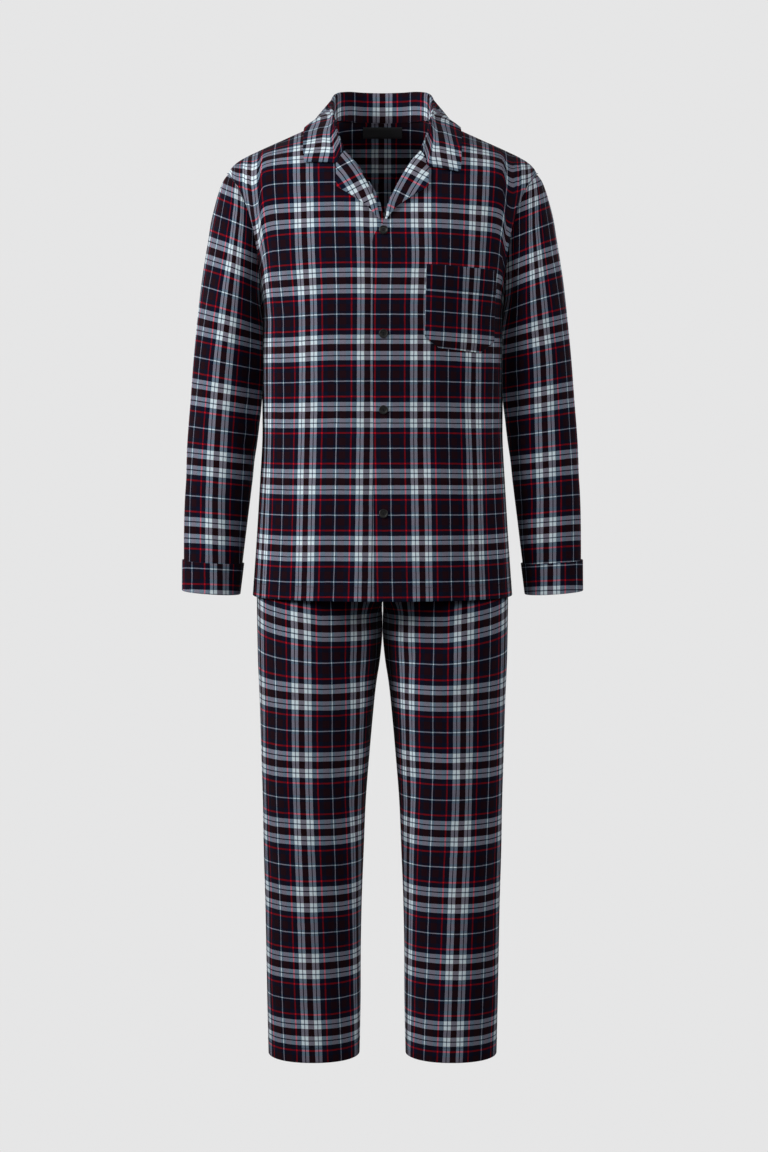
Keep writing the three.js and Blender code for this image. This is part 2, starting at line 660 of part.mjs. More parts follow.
function foldSleeve({ grid, out }) {
  const rows = grid.length - 1;
  const columns = grid[0].length;
  return grid.map((row, j) =>
    row.map((p, i) => {
      const quiet = ease(0.15, 0.3, j / rows) * ease(0, 0.12, 1 - j / rows);
      const depth = quiet * foldDepth(SLEEVE_FOLDS, i / columns, 1 - j / rows);
      return p.clone().addScaledVector(out[j][i], -depth);
    }),
  );
}

// The lower front sinks beneath the upper one, near the centre line.
function sinkLowerFront({ grid, out }) {
  grid.forEach((row, j) =>
    row.forEach((p, i) => {
      const drop = LAP_DROP * (1 - ease(LAP.full, LAP.none, p.x)) * (1 - ease(-160, -118, p.z));
      p.addScaledVector(out[j][i], -drop);
    }),
  );
}

// The body panels, on the side where x is positive, and the whole back.
function buildBody() {
  const made = (grid) => ({ grid, out: outwards(grid) });
  const upper = made(frontGrid(neckEdge.upper));
  const lower = made(frontGrid(neckEdge.lower));
  const back = made(backGrid());
  const { sleeve, cuff } = buildSleeve(upper, back);
  const lastColumn = back.grid[0].length - 1;
  for (let j = SIDE_ROWS; j < upper.grid.length; j += 1) lower.out[j][0].copy(upper.out[j][0]);
  squareSeams(upper, "front", [0]);
  squareSeams(lower, "front", [0]);
  squareSeams(back, "back", [0, lastColumn]);
  back.out.forEach((row) => row[lastColumn].set(-row[0].x, row[0].y, row[0].z));
  [upper, lower].forEach((panel) => {
    panel.grid = pressFolds(panel.grid, panel.out, FRONT_FOLDS);
  });
  back.grid = pressFolds(back.grid, back.out, BACK_FOLDS);
  sinkLowerFront(lower);
  return { upper, lower, back, sleeve, cuff };
}

// A point on a panel, found by its place in the front view, and moved out along the panel's
// direction there.
function pointOn({ grid, out }, x, z, distance) {
  let best = null;
  const test = (corners) => {
    const [a, b, c] = corners.map(([j, i]) => grid[j][i]);
    const whole = (b.x - a.x) * (c.z - a.z) - (c.x - a.x) * (b.z - a.z);
    if (Math.abs(whole) < 1e-6) return;
    const p = ((x - a.x) * (c.z - a.z) - (c.x - a.x) * (z - a.z)) / whole;
    const q = ((b.x - a.x) * (z - a.z) - (x - a.x) * (b.z - a.z)) / whole;
    const worst = Math.min(1 - p - q, p, q);
    if (!best || worst > best.worst) best = { corners, shares: [1 - p - q, p, q], worst };
  };
  for (let j = 0; j < grid.length - 1; j += 1) {
    for (let i = 0; i < grid[0].length - 1; i += 1) {
      test([[j, i], [j, i + 1], [j + 1, i + 1]]);
      test([[j, i], [j + 1, i + 1], [j + 1, i]]);
    }
  }
  const blend = (from) =>
    best.corners.reduce(
      (sum, [j, i], k) => sum.addScaledVector(from[j][i], best.shares[k]),
      vec(0, 0, 0),
    );
  const direction = blend(out).normalize();
  return { point: blend(grid).addScaledVector(direction, distance), direction };
}

// A thin patch on a panel, from a grid of places in the front view.
function patchOn(panel, places, distance, thickness) {
  const found = places.map((row) => row.map(([x, z, lift = 0]) => pointOn(panel, x, z, distance + lift)));
  const grid = found.map((row) => row.map((f) => f.point));
  const out = found.map((row) => row.map((f) => f.direction));
  return sheetWall(grid, out, thickness);
}

// The chest pocket, a square patch with its lower corners cut off round.
function buildPocket(panel) {
  const { left, right, top, drop, tall, corner } = POCKET;
  const middle = (left + right) / 2;
  const half = (right - left) / 2;
  const places = Array.from({ length: POCKET_STEPS + 1 }, (_, j) => {
    const down = j / POCKET_STEPS;
    const round = clamp((down - (1 - corner)) / corner, 0, 1);
    const width = half * (1 - POCKET_CUT * (1 - Math.sqrt(1 - round * round)));
    return Array.from({ length: POCKET_STEPS + 1 }, (_, i) => {
      const across = (2 * i) / POCKET_STEPS - 1;
      const z = top - down * tall - (drop * (across + 1)) / 2;
      return [middle + across * width, z, POCKET_BOW * ease(0, 1, across)];
    });
  });
  return patchOn(panel, places, POCKET_LIFT + WALL, WALL);
}

// A woven label inside the back of the neck.
function buildLabel(back) {
  const { half, top, bottom, thick } = LABEL;
  const across = Array.from({ length: 7 }, (_, i) => mix(-half, half, i / 6));
  const places = [top, (top + bottom) / 2, bottom].map((z) => across.map((x) => [x, z]));
  return patchOn(back, places, -WALL - SEAM - 0.5, thick);
}

// A lapel is the front's own facing, turned back along the roll line. It lies on its panel.
function buildLapel(panel, edge) {
  const column = (name) => through(LAPEL, "share", name);
  const [rollX, rollZ, edgeX, edgeZ] = ["rollX", "rollZ", "edgeX", "edgeZ"].map(column);
  const steps = LAPEL_LIFT.length - 1;
  const places = Array.from({ length: LAPEL_ROWS + 1 }, (_, j) => {
    const share = j / LAPEL_ROWS;
    const start = Math.max(rollX(share), edge(rollZ(share)) + 0.4);
    const end = Math.max(edgeX(share), start + 3);
    return LAPEL_LIFT.map((lift, i) => [
      mix(start, end, i / steps),
      mix(rollZ(share), edgeZ(share), i / steps),
      lift * mix(0.35, 1, ease(0, 0.3, share)),
    ]);
  });
  return patchOn(panel, places, WALL + SEAM, WALL);
}

// The collar

// Moves a point out until it is clear of the jacket beneath it.
function clearOf(p, distance) {
  const side = p.y > topDepth("front", p.x) ? "back" : "front";
  const z = Math.min(p.z, shoulderHeight(Math.abs(p.x)));
  const normal = jacketNormal(side, p.x, z);
  const height = p.clone().sub(jacketPoint(side, p.x, z)).dot(normal);
  return height < distance ? p.clone().addScaledVector(normal, distance - height) : p;
}

// The neckline from the notch of the lapel over the neck point to the centre back.
function neckline(upper, back) {
  const last = upper.grid[0].length - 1;
  const rows = upper.grid.slice(-COLLAR.filter((row) => row.side === "front").length);
  const fronts = rows.map((row) => row[last]);
  const top = back.grid[back.grid.length - 1];
  const backs = top.slice(FRONT_COLUMNS, FRONT_COLUMNS + NECK_COLUMNS + 1);
  return [...fronts.slice(0, -1), fronts[fronts.length - 1].clone().lerp(backs[0], 0.5), ...backs.slice(1)];
}

// One profile of the collar's visible side: up the stand, over the fold, down the fall.
function collarProfile(seam, row) {
  const away = vec(seam.x, seam.y - NECK_Y, 0).normalize();
  const foot = seam.clone().add(vec(0, 0, COLLAR_GAP));
  const shoulder = foot.clone().add(vec(0, 0, Math.max(0.4, row.stand - FOLD_RADIUS)));
  const centre = shoulder.clone().addScaledVector(away, FOLD_RADIUS);
  const onFold = (turn) =>
    centre
      .clone()
      .addScaledVector(away, -FOLD_RADIUS * Math.cos(degrees(turn)))
      .add(vec(0, 0, FOLD_RADIUS * Math.sin(degrees(turn))));
  const stand = [foot, foot.clone().lerp(shoulder, 0.5), shoulder, ...[50, 100, 150].map(onFold)];
  const start = onFold(190);
  const edge = yokePoint(row.side, row.edgeX, mix(ROUND_FROM, 1, row.lean / 90));
  edge.addScaledVector(yokeNormal(row.side, row.edgeX, row.lean), COLLAR_LIFT);
  const corner = row.notchX
    ? offJacket("front", row.notchX, row.notchZ, COLLAR_LIFT + 1)
    : start.clone().lerp(edge, NOTCH_AT).addScaledVector(away, row.bow).add(vec(0, 0, row.bow));
  const fall = Array.from({ length: FALL_STEPS + 1 }, (_, k) => {
    const share = k / FALL_STEPS;
    return share < NOTCH_AT
      ? start.clone().lerp(corner, share / NOTCH_AT)
      : corner.clone().lerp(edge, (share - NOTCH_AT) / (1 - NOTCH_AT));
  });
  return [...stand, ...fall.map((p) => clearOf(p, COLLAR_LIFT))];
}

function buildCollar(upper, back) {
  const half = neckline(upper, back).map((seam, k) => collarProfile(seam, COLLAR[k]));
  const others = half.slice(0, -1).reverse().map((row) => row.map((p) => vec(-p.x, p.y, p.z)));
  const grid = [...half, ...others];
  const out = normalsOf(grid, false);
  const middle = half.length - 1;
  const sign = Math.sign(out[middle][4].z);
  out.forEach((row) => row.forEach((n) => n.multiplyScalar(sign)));
  out.forEach((row) => row[0].setZ(0).normalize());
  return sheetWall(grid, out, WALL);
}

// A round button with a raised rim, which lies flat on the upper front.
function buildButton() {
  const [radius, thick] = [BUTTON_RADIUS, BUTTON_THICK];
  const profile = [
    [0, 0],
    [radius * 0.8, 0],
    [radius, thick * 0.5],
    [radius * 0.9, thick],
    [radius * 0.66, thick * 0.72],
    [0, thick * 0.72],
  ];
  const points = profile.map(([out, up]) => new THREE.Vector2(out, up));
  return new THREE.LatheGeometry(points, BUTTON_SIDES).rotateX(Math.PI / 2);
}

// The trousers

const leg = Object.fromEntries(
  ["outer", "inner", "front", "back"].map((name) => [name, through(LEG, "z", name)]),
);

// The widest a leg may be where it lies inside the jacket.
const legOuter = (z) =>
  z < JACKET_HEM ? leg.outer(z) : Math.min(leg.outer(z), torsoHalf(z) - WALL - HIP_CLEARANCE);

// A front or back panel of the left leg, from the outside seam to the inside seam or centre seam.
function legGrid(side) {
  return LEG_ROWS.map((z) => {
    const outer = legOuter(z);
    const inner = leg.inner(z);
    const open = z <= CROTCH ? 1 : 1 - ease(CROTCH, FORK, z) ** 0.8;
    const end = mix(Math.PI / 2, Math.PI, open);
    const reach = (outer - inner) / (1 - bent(Math.cos(end), LEG_SQUARENESS));
    return Array.from({ length: LEG_COLUMNS + 1 }, (_, i) => {
      const angle = (end * i) / LEG_COLUMNS;
      const x = outer - reach * (1 - bent(Math.cos(angle), LEG_SQUARENESS));
      return vec(x, facing[side] * leg[side](z) * bent(Math.sin(angle), LEG_SQUARENESS), z);
    });
  });
}

function legWall(side) {
  const grid = legGrid(side);
  const directions = outwards(grid, false, vec(LEG_AXIS, 0, 0));
  grid.forEach((row, j) => {
    [0, LEG_COLUMNS].forEach((i) => {
      const onCentre = i === LEG_COLUMNS && LEG_ROWS[j] > CROTCH;
      const n = directions[j][i];
      if (onCentre) n.setX(Math.min(0, n.x)).normalize();
      else n.setY(0).normalize();
      if (!onCentre) row[i].y = (facing[side] * SEAM) / 2;
    });
  });
  return { grid: pressFolds(grid, directions, LEG_FOLDS), directions };
}

// An elastic waistband, gathered into even ripples.
function buildWaistband() {
  const around = BAND_GATHERS * 4;
  const heights = [WAIST + SEAM, WAIST + BAND_HEIGHT];
  const grid = heights.map((z) =>
    Array.from({ length: around }, (_, i) => {
      const angle = (2 * Math.PI * i) / around;
      const side = Math.sin(angle) < 0 ? "front" : "back";
      const ripple = BAND_RIPPLE * Math.cos(BAND_GATHERS * angle) * (z > WAIST + 1 ? 1 : 0.4);
      const swell = 1 + ripple / leg.outer(WAIST);
      return vec(
        leg.outer(WAIST) * swell * bent(Math.cos(angle), LEG_SQUARENESS),
        facing[side] * leg[side](WAIST) * swell * Math.abs(bent(Math.sin(angle), LEG_SQUARENESS)),
        z,
      );
    }),
  );
  const directions = outwards(grid, true);
  directions.forEach((row) => row.forEach((n) => n.setZ(0).normalize()));
  return sheetWall(grid, directions, BAND_WALL, true);
}

// The same geometry on the other side of the centre line.
function turnedOver(geometry) {
  geometry.scale(-1, 1, 1);
  return facingOut(geometry);
}

// The whole set

const CHECK = { color: 0x2a2430, roughness: 0.92, metalness: 0 };
const LABEL_CLOTH = { color: 0x0c0c0e, roughness: 0.7, metalness: 0 };
const BUTTON_RESIN = { color: 0x121312, roughness: 0.35, metalness: 0 };
const ELASTIC = { color: 0x2a2430, roughness: 0.92, metalness: 0 };

const group = new THREE.Group();

function add(parent, name, geometry, look) {
  const mesh = new THREE.Mesh(geometry, new THREE.MeshStandardMaterial(look));
  mesh.name = name;
  parent.add(mesh);
  return mesh;
}

const { upper, lower, back, sleeve, cuff } = buildBody();
const jacket = new THREE.Group();
group.add(jacket);
add(jacket, "front_left", panelWall(upper), CHECK);
add(jacket, "front_right", panelWall(otherSide(lower)), CHECK);
add(jacket, "back", panelWall(back), CHECK);
add(jacket, "sleeve_left", panelWall(sleeve, WALL, true), CHECK);
add(jacket, "sleeve_right", panelWall(otherSide(sleeve), WALL, true), CHECK);
add(jacket, "cuff_left", panelWall(cuff, CUFF_WALL, true), CHECK);
add(jacket, "cuff_right", panelWall(otherSide(cuff), CUFF_WALL, true), CHECK);
add(jacket, "collar", buildCollar(upper, back), CHECK);
add(jacket, "lapel_left", buildLapel(upper, neckEdge.upper), CHECK);
add(jacket, "lapel_right", turnedOver(buildLapel(lower, neckEdge.lower)), CHECK);
add(jacket, "chest_pocket", buildPocket(upper), CHECK);
add(jacket, "neck_label", buildLabel(back), LABEL_CLOTH);
BUTTON_HEIGHTS.forEach((z, i) => {
  const button = add(jacket, "button_" + (i + 1), buildButton(), BUTTON_RESIN);
  const { point, direction } = pointOn(upper, BUTTON_X, z, SEAM + 0.15);
  button.quaternion.setFromUnitVectors(vec(0, 0, 1), direction);
  button.position.copy(point);
});

const trousers = new THREE.Group();
group.add(trousers);
["front", "back"].forEach((side) => {
  const { grid, directions } = legWall(side);
  add(trousers, "leg_" + side + "_left", sheetWall(grid, directions, WALL), CHECK);
  const other = sheetWall(mirrored(grid), mirrored(directions), WALL);
  add(trousers, "leg_" + side + "_right", other, CHECK);
});
add(trousers, "waistband", buildWaistband(), ELASTIC);

export default group;
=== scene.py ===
# %% [markdown]
# # A checked pyjama set, filled out as if worn
# This lesson dresses the plain solids of a pyjama set as brushed cotton. A real set is cut from
# flat check cloth, so every piece here starts the same way: a flat grid whose UV map is the flat
# cloth itself, in metres. The grid is then laid over a form that is worked out from a few
# measured stations, as cloth is laid over a dress stand. Because the check follows the UV map, it
# bends and narrows with the cloth, just as a woven check does.
# First comes the frame: the measured solids that every piece must sit on.

# %% The frame
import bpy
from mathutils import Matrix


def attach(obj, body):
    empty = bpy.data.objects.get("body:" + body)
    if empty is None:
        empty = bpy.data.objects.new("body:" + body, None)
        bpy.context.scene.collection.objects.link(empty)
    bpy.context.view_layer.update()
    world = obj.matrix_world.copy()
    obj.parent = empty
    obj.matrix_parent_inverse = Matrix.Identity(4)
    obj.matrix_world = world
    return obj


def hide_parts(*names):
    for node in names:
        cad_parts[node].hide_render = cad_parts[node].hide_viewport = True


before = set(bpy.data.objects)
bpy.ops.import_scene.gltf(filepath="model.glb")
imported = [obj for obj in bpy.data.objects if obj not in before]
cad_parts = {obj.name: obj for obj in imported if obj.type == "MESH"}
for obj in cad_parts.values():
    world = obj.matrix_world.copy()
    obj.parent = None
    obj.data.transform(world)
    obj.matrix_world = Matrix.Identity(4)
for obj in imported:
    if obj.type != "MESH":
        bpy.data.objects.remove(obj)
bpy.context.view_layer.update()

# %% Tools of the trade
import math

import bmesh
import bpy
import numpy as np
from mathutils import Matrix, Vector

MM = 0.001  # the sizes below are in millimetres, and Blender works in metres

# %% [markdown]
# ## The camera
# The set was photographed from almost four metres away with a long lens, level with the waist and
# tilted down by about four degrees. A long lens keeps the check nearly square from top to bottom.

# %% The camera
CAMERA_PLACE = (2.3, -3750, -432.6)
CAMERA_TILT = 4.16  # degrees below level
LENS = 75.6  # for a sensor that is 36 mm along its longer side

camera = bpy.data.objects.new("camera", bpy.data.cameras.new("camera"))
camera.data.lens = LENS
camera.data.sensor_width = 36
camera.data.clip_end = 60
camera.location = Vector(CAMERA_PLACE) * MM
camera.rotation_euler = (math.radians(90 - CAMERA_TILT), 0, 0)
bpy.context.scene.collection.objects.link(camera)
bpy.context.scene.camera = camera
print("camera at", tuple(round(c, 3) for c in camera.location))

# %% [markdown]
# ## Curves through a few stations
# A pattern cutter draws a long curve through a handful of measured points. `through` does the same
# with one column of a short table: it gives back a function that reads the curve at any place, or
# at a whole array of places at once, which keeps the fine meshes fast.

# %% Curves and small helpers
def through(table, column):
    """A smooth curve through one column of a table, by the values of its first column."""
    rows = np.array(sorted(table), float)
    return smooth_curve(rows[:, 0], rows[:, column])


def smooth_curve(key, value):
    """A smooth curve through values, which may be numbers or points, at the given keys."""
    last = len(key) - 1
    before = np.maximum(np.arange(last + 1) - 1, 0)
    after = np.minimum(np.arange(last + 1) + 1, last)
    widen = (slice(None),) + (None,) * (value.ndim - 1)
    slope = (value[after] - value[before]) / (key[after] - key[before])[widen]

    def at(place):
        place = np.clip(place, key[0], key[-1])
        i = np.clip(np.searchsorted(key, place, side="right") - 1, 0, last - 1)
        span = key[i + 1] - key[i]
        s = (place - key[i]) / span
        if value.ndim > 1:
            s, span = s[:, None, None], span[:, None, None]
        ends = value[i] * (1 - 3 * s**2 + 2 * s**3) + value[i + 1] * (3 * s**2 - 2 * s**3)
        return ends + span * (slope[i] * (s - 2 * s**2 + s**3) + slope[i + 1] * (s**3 - s**2))

    return at


def mix(a, b, share):
    return a + (b - a) * share


def ease(low, high, value):
    s = np.clip((value - low) / (high - low), 0, 1)
    return s * s * (3 - 2 * s)


def bent(value, squareness):
    """Bends a sine or cosine, so that an ellipse becomes a rounded square."""
    return np.sign(value) * np.abs(value) ** (2 / squareness)


def unit(vectors):
    size = np.linalg.norm(vectors, axis=-1, keepdims=True)
    return vectors / np.maximum(size, 1e-9)


def point(x, y, z):
    return np.stack(np.broadcast_arrays(x, y, z), axis=-1).astype(float)


def run_along(line):
    """How far along a line each of its points lies."""
    return np.r_[0, np.cumsum(np.linalg.norm(np.diff(line, axis=0), axis=1))]


def crowded(count, crowd=0.6):
    """Shares from 0 to 1 that lie closer together at both ends, where a seam needs detail."""
    t = np.linspace(0, 1, count + 1)
    return t - crowd * np.sin(2 * np.pi * t) / (2 * np.pi)


def spaced(line, shares):
    """Points along a line, at shares of its length."""
    run = run_along(line)
    return np.stack([np.interp(shares * run[-1], run, line[:, k]) for k in range(3)], axis=1)


# %% [markdown]
# ## The jacket's form
# In plan, the body of the jacket is a rounded square. Its half width and its two depths are given
# at a few heights. Above the underarm each column of cloth hangs straight for half of the way,
# and then rounds over the shoulder to the seam. These are the same stations that the solids
# have, so the cloth lands on them.

# %% Stations of the jacket
JACKET_HEM = -733
UNDERARM = -310
NECK_HALF = 75  # from the centre line to a neck point
NECK_Y = 12
NECK_BACK = 82
SHOULDER_HALF = 238
SQUARE = 2.3
ROUND_FROM = 0.52  # share of the yoke's height where the cloth starts to lean over
SEAM_FORWARD = 4  # how far the shoulder seam runs forward from the neck point to the sleeve
SEAM_TRIES = 30  # steps in the search for a point of a seam

TORSO = [  # height, half width, depth to the front, depth to the back
    (-733, 201.3, 141, 137), (-650, 195.2, 138, 132), (-556, 189.3, 135, 121),
    (-494, 185.8, 134, 113), (-448, 185.6, 134, 110), (-400, 186, 136, 111),
    (-343, 186.2, 139, 117), (-310, 186, 141, 120), (-282, 189.5, 141, 122),
    (-243, 197.5, 141, 124), (-200, 209, 138, 123), (-150, 222, 129, 120),
    (-100, 235, 115, 112), (-50, 244, 101, 99), (0, 250, 90, 86),
]
SHOULDER = [  # distance from the centre line, height of the seam, height of its rounding
    (0, 0, 78), (75, 0, 76), (119, -19.7, 68), (152, -34.6, 62),
    (189, -51, 55), (218, -65.3, 49), (232, -76.6, 46), (238, -86.5, 44),
]
ARMHOLE = [  # height, distance from the centre line
    (-310, 186), (-300, 185.8), (-282, 186), (-243, 187.2), (-211, 190),
    (-171, 197), (-136, 208), (-108, 221.5), (-86.5, 238),
]
FRONT_EDGE = [  # height, inner edge of the upper front, and of the lower front
    (-733, -11.5, -15), (-400, -13.5, -15), (-216, -13.5, -15), (-190, -12.5, -13),
    (-168, 2.5, -2), (-152, 6, 1.5), (-134, 11.5, 6), (-101, 28, 25),
    (-76, 44, 43), (-60, 57, 57), (-30, 68, 68), (0, 75, 75),
]
FACING = {"front": -1, "back": 1}
torso_half = through(TORSO, 1)
torso_depth = {"front": through(TORSO, 2), "back": through(TORSO, 3)}
shoulder_z = through(SHOULDER, 1)
shoulder_round = through(SHOULDER, 2)
armhole_x = through(ARMHOLE, 1)
upper_edge, lower_edge = through(FRONT_EDGE, 1), through(FRONT_EDGE, 2)
print("width at the underarm", 2 * float(torso_half(UNDERARM)), "mm")


# %% Points on the jacket's form
def hanging(side, x, z):
    """How far the hanging cloth stands from the plane of the side seams."""
    share = np.clip(np.abs(x) / torso_half(z), 0, 1)
    return torso_depth[side](z) * (1 - share**SQUARE) ** (1 / SQUARE)


def top_depth(side, x):
    """Depth of a piece's top edge: the shoulder seam, or the neckline at the back."""
    across = np.abs(x)
    seam = NECK_Y - SEAM_FORWARD * (across - NECK_HALF) / (SHOULDER_HALF - NECK_HALF)
    bow = np.sqrt(np.clip(1 - (across / NECK_HALF) ** 2, 0, 1))
    neck = NECK_Y + (NECK_BACK - NECK_Y) * bow * (side == "back")
    return np.where(across >= NECK_HALF, seam, neck)


def yoke(side, x, share):
    """A point above the underarm, at a share of the way up to the piece's top edge."""
    across = np.abs(x)
    start = shoulder_z(across) - shoulder_round(across)
    lean = np.clip((share - ROUND_FROM) / (1 - ROUND_FROM), 0, 1) * np.pi / 2
    straight = mix(UNDERARM, start, np.minimum(share / ROUND_FROM, 1))
    z = np.where(share <= ROUND_FROM, straight, start + shoulder_round(across) * np.sin(lean))
    hung = FACING[side] * hanging(side, x, z)
    y = np.where(share <= ROUND_FROM, hung, mix(top_depth(side, x), hung, np.cos(lean)))
    return point(x, y, z)


def seam_at(edge, side, share):
    """Where a seam that is known by its front view crosses the cloth at this share."""
    x = edge(yoke(side, NECK_HALF, share)[2])
    for _ in range(SEAM_TRIES):
        x = mix(x, edge(yoke(side, x, share)[2]), 0.5)
    return float(x)


def angle_of(x, half):
    """The angle at which the rounded square passes x."""
    share = np.clip(x / half, -1, 1)
    return np.arccos(np.sign(share) * np.abs(share) ** (SQUARE / 2))


# %% [markdown]
# ## Where a point lies in the flat cloth
# The check has to run as if the cloth had been cut flat. Across, a point lies as far from the
# centre line as a tape laid round the body would say. Up, it lies as high as a tape laid over the
# shoulder would say. Both tapes are sums of short straight steps.

# %% Tape measures
GIRTH_STEPS = 24  # short straight steps of the tape round the body


def girth(x, half, depth, squareness):
    """Length of cloth from the centre line round to x, on a rounded square."""
    share = np.clip(x / half, -1, 1)
    end = np.arccos(np.sign(share) * np.abs(share) ** (squareness / 2))
    angle = np.pi / 2 + (end[..., None] - np.pi / 2) * np.linspace(0, 1, GIRTH_STEPS + 1)
    xs = half[..., None] * bent(np.cos(angle), squareness)
    ys = depth[..., None] * bent(np.sin(angle), squareness)
    return np.hypot(np.diff(xs, axis=-1), np.diff(ys, axis=-1)).sum(-1) * np.sign(x)


TAPE_COLUMNS, TAPE_ROWS = 64, 90  # of the table that holds the tape over the shoulder
TAPE_WIDE = SHOULDER_HALF + 12  # how far out the table reaches
LAST_COLUMN, LAST_ROW = TAPE_COLUMNS - 1.001, TAPE_ROWS - 1.001  # just inside its last cells


def yoke_tape(side, x, shares):
    """Length of cloth from the underarm up to a share of the yoke, in the column at x."""
    columns = np.linspace(0, TAPE_WIDE, TAPE_COLUMNS)
    lines = yoke(side, columns[:, None], np.linspace(0, 1, TAPE_ROWS)[None, :])
    steps = np.linalg.norm(np.diff(lines, axis=1), axis=-1)
    tape = np.insert(np.cumsum(steps, axis=1), 0, 0, axis=1)
    column = np.clip(np.abs(x) / TAPE_WIDE * (TAPE_COLUMNS - 1), 0, LAST_COLUMN)
    row = np.clip(shares * (TAPE_ROWS - 1) + np.zeros_like(x), 0, LAST_ROW)
    i, j = column.astype(int), row.astype(int)
    low = mix(tape[i, j], tape[i + 1, j], column - i)
    high = mix(tape[i, j + 1], tape[i + 1, j + 1], column - i)
    return mix(low, high, row - j)


def flat_jacket(side, points, shares):
    """Across and up in the flat cloth, for a panel of the jacket. shares has one for each row."""
    x = points[..., 0]
    start = shoulder_z(np.abs(x)) - shoulder_round(np.abs(x))
    level = np.minimum(points[..., 2], start)
    across = girth(x, torso_half(level), torso_depth[side](level), SQUARE)
    up = UNDERARM + yoke_tape(side, x, shares[:, None])
    return np.stack([across, np.where(shares[:, None] > 0, up, points[..., 2])], axis=-1)


# %% [markdown]
# ## One sheet of cloth
# Each piece begins as one of Blender's grids, cut on the table. Every vertex then moves to its
# place on the form, and the UV map keeps where it was in the flat cloth. The cutter also chooses
# where on the check each piece is laid, so that the stripes meet or miss each other as they do
# on the real set. A Solidify modifier gives the sheet its thickness, towards the inside, so the
# outer face stays on the form.

# %% Cutting and laying a sheet
CLOTH_WALL = 1.1
SEAM_CLOSED = 0.02  # points of a tube's seam that are this close are one
RIM_ANGLE, RIM_STEPS = 55, 2  # which edges of a softened piece are rounded, and how finely
PLACE_TRIES = 14  # steps in the search for a place on a sheet


def outward(points, inside=(0, 0), closed=False):
    """The way out at every point of a grid: away from an upright line inside it."""
    across = np.gradient(points, axis=1)
    if closed:
        across[:, 0] = across[:, -1] = points[:, 1] - points[:, -2]
    out = unit(np.cross(across, np.gradient(points, axis=0)))
    away = points[..., :2] - np.array(inside, float)
    return out * np.sign((out[..., :2] * away).sum())


class Sheet:
    """A grid of points, the way out at each, and where each lies in the flat cloth."""

    def __init__(self, points, cloth, out, closed=False):
        self.points, self.cloth, self.out, self.closed = points, cloth, out, closed

    def away_from(self, edge):
        """How far each point lies from one edge, measured along the cloth."""
        axis = 1 if edge in ("start", "end") else 0
        steps = np.linalg.norm(np.diff(self.points, axis=axis), axis=-1)
        run = np.insert(np.cumsum(steps, axis=axis), 0, 0, axis=axis)
        return np.take(run, [-1], axis=axis) - run if edge in ("end", "top") else run

    def mirrored(self):
        flip = (-1, 1, 1)
        return Sheet(self.points * flip, self.cloth * (-1, 1), self.out * flip, self.closed)

    def at(self, row, column, lift=0):
        """Points and ways out at fractional rows and columns of the grid."""
        row, column = np.broadcast_arrays(np.asarray(row, float), np.asarray(column, float))
        j = np.clip(np.floor(row).astype(int), 0, self.points.shape[0] - 2)
        i = np.clip(np.floor(column).astype(int), 0, self.points.shape[1] - 2)
        q, p = (row - j)[..., None], (column - i)[..., None]

        def blend(a):
            return mix(mix(a[j, i], a[j, i + 1], p), mix(a[j + 1, i], a[j + 1, i + 1], p), q)

        out = unit(blend(self.out))
        return blend(self.points) + out * np.asarray(lift, float)[..., None], out

    def place_of(self, x, z):
        """The fractional row and column where the sheet passes a place in the front view."""
        rows, columns = self.points.shape[0] - 1, self.points.shape[1] - 1
        row, column = rows / 2, columns / 2
        for _ in range(PLACE_TRIES):
            j = int(min(row, rows - 1))
            level = mix(self.points[j], self.points[j + 1], row - j)[::-1, 0]
            column = columns - np.interp(x, level, np.arange(columns + 1))
            i = int(min(column, columns - 1))
            upright = mix(self.points[:, i], self.points[:, i + 1], column - i)[:, 2]
            row = np.interp(z, upright, np.arange(rows + 1))
        return row, column


def lay(name, sheet, match=(0, 0), give=(1, 1), wall=CLOTH_WALL, soften=0):
    rows, columns = sheet.points.shape[0] - 1, sheet.points.shape[1] - 1
    grid = bmesh.new()
    bmesh.ops.create_grid(grid, x_segments=columns, y_segments=rows, size=0.5)
    chart = grid.loops.layers.uv.new("cloth")
    flat = (sheet.cloth - np.array(match, float)) * np.array(give, float) * MM
    place = {v: (round((v.co.y + 0.5) * rows), round((v.co.x + 0.5) * columns)) for v in grid.verts}
    for face in grid.faces:
        face.smooth = True
        for corner in face.loops:
            corner[chart].uv = flat[place[corner.vert]]
    for v, (j, i) in place.items():
        v.co = sheet.points[j, i] * MM
    if sheet.closed:
        bmesh.ops.remove_doubles(grid, verts=grid.verts, dist=SEAM_CLOSED * MM)
    j, i = rows // 2, columns // 2
    across = sheet.points[j, i + 1] - sheet.points[j, i]
    up = sheet.points[j + 1, i] - sheet.points[j, i]
    if np.cross(across, up) @ sheet.out[j, i] < 0:
        bmesh.ops.reverse_faces(grid, faces=grid.faces)
    piece = new_piece(name, grid)
    thick = piece.modifiers.new("thickness", "SOLIDIFY")
    thick.thickness = wall * MM
    thick.offset = -1
    if soften:
        rim = piece.modifiers.new("soft rim", "BEVEL")
        rim.width = soften * MM
        rim.segments = RIM_STEPS
        rim.angle_limit = math.radians(RIM_ANGLE)
    return piece


def new_object(name, work):
    """Puts a mesh into the scene once the work on it is done."""
    mesh = bpy.data.meshes.new(name)
    work.to_mesh(mesh)
    work.free()
    made = bpy.data.objects.new(name, mesh)
    bpy.context.scene.collection.objects.link(made)
    return made


def new_piece(name, work):
    piece = new_object(name, work)
    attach(piece, "root")
    return piece


def dress(piece, look, solid):
    """Gives a piece its look, and hides the solid that it takes the place of."""
    piece.data.materials.append(look)
    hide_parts(solid)
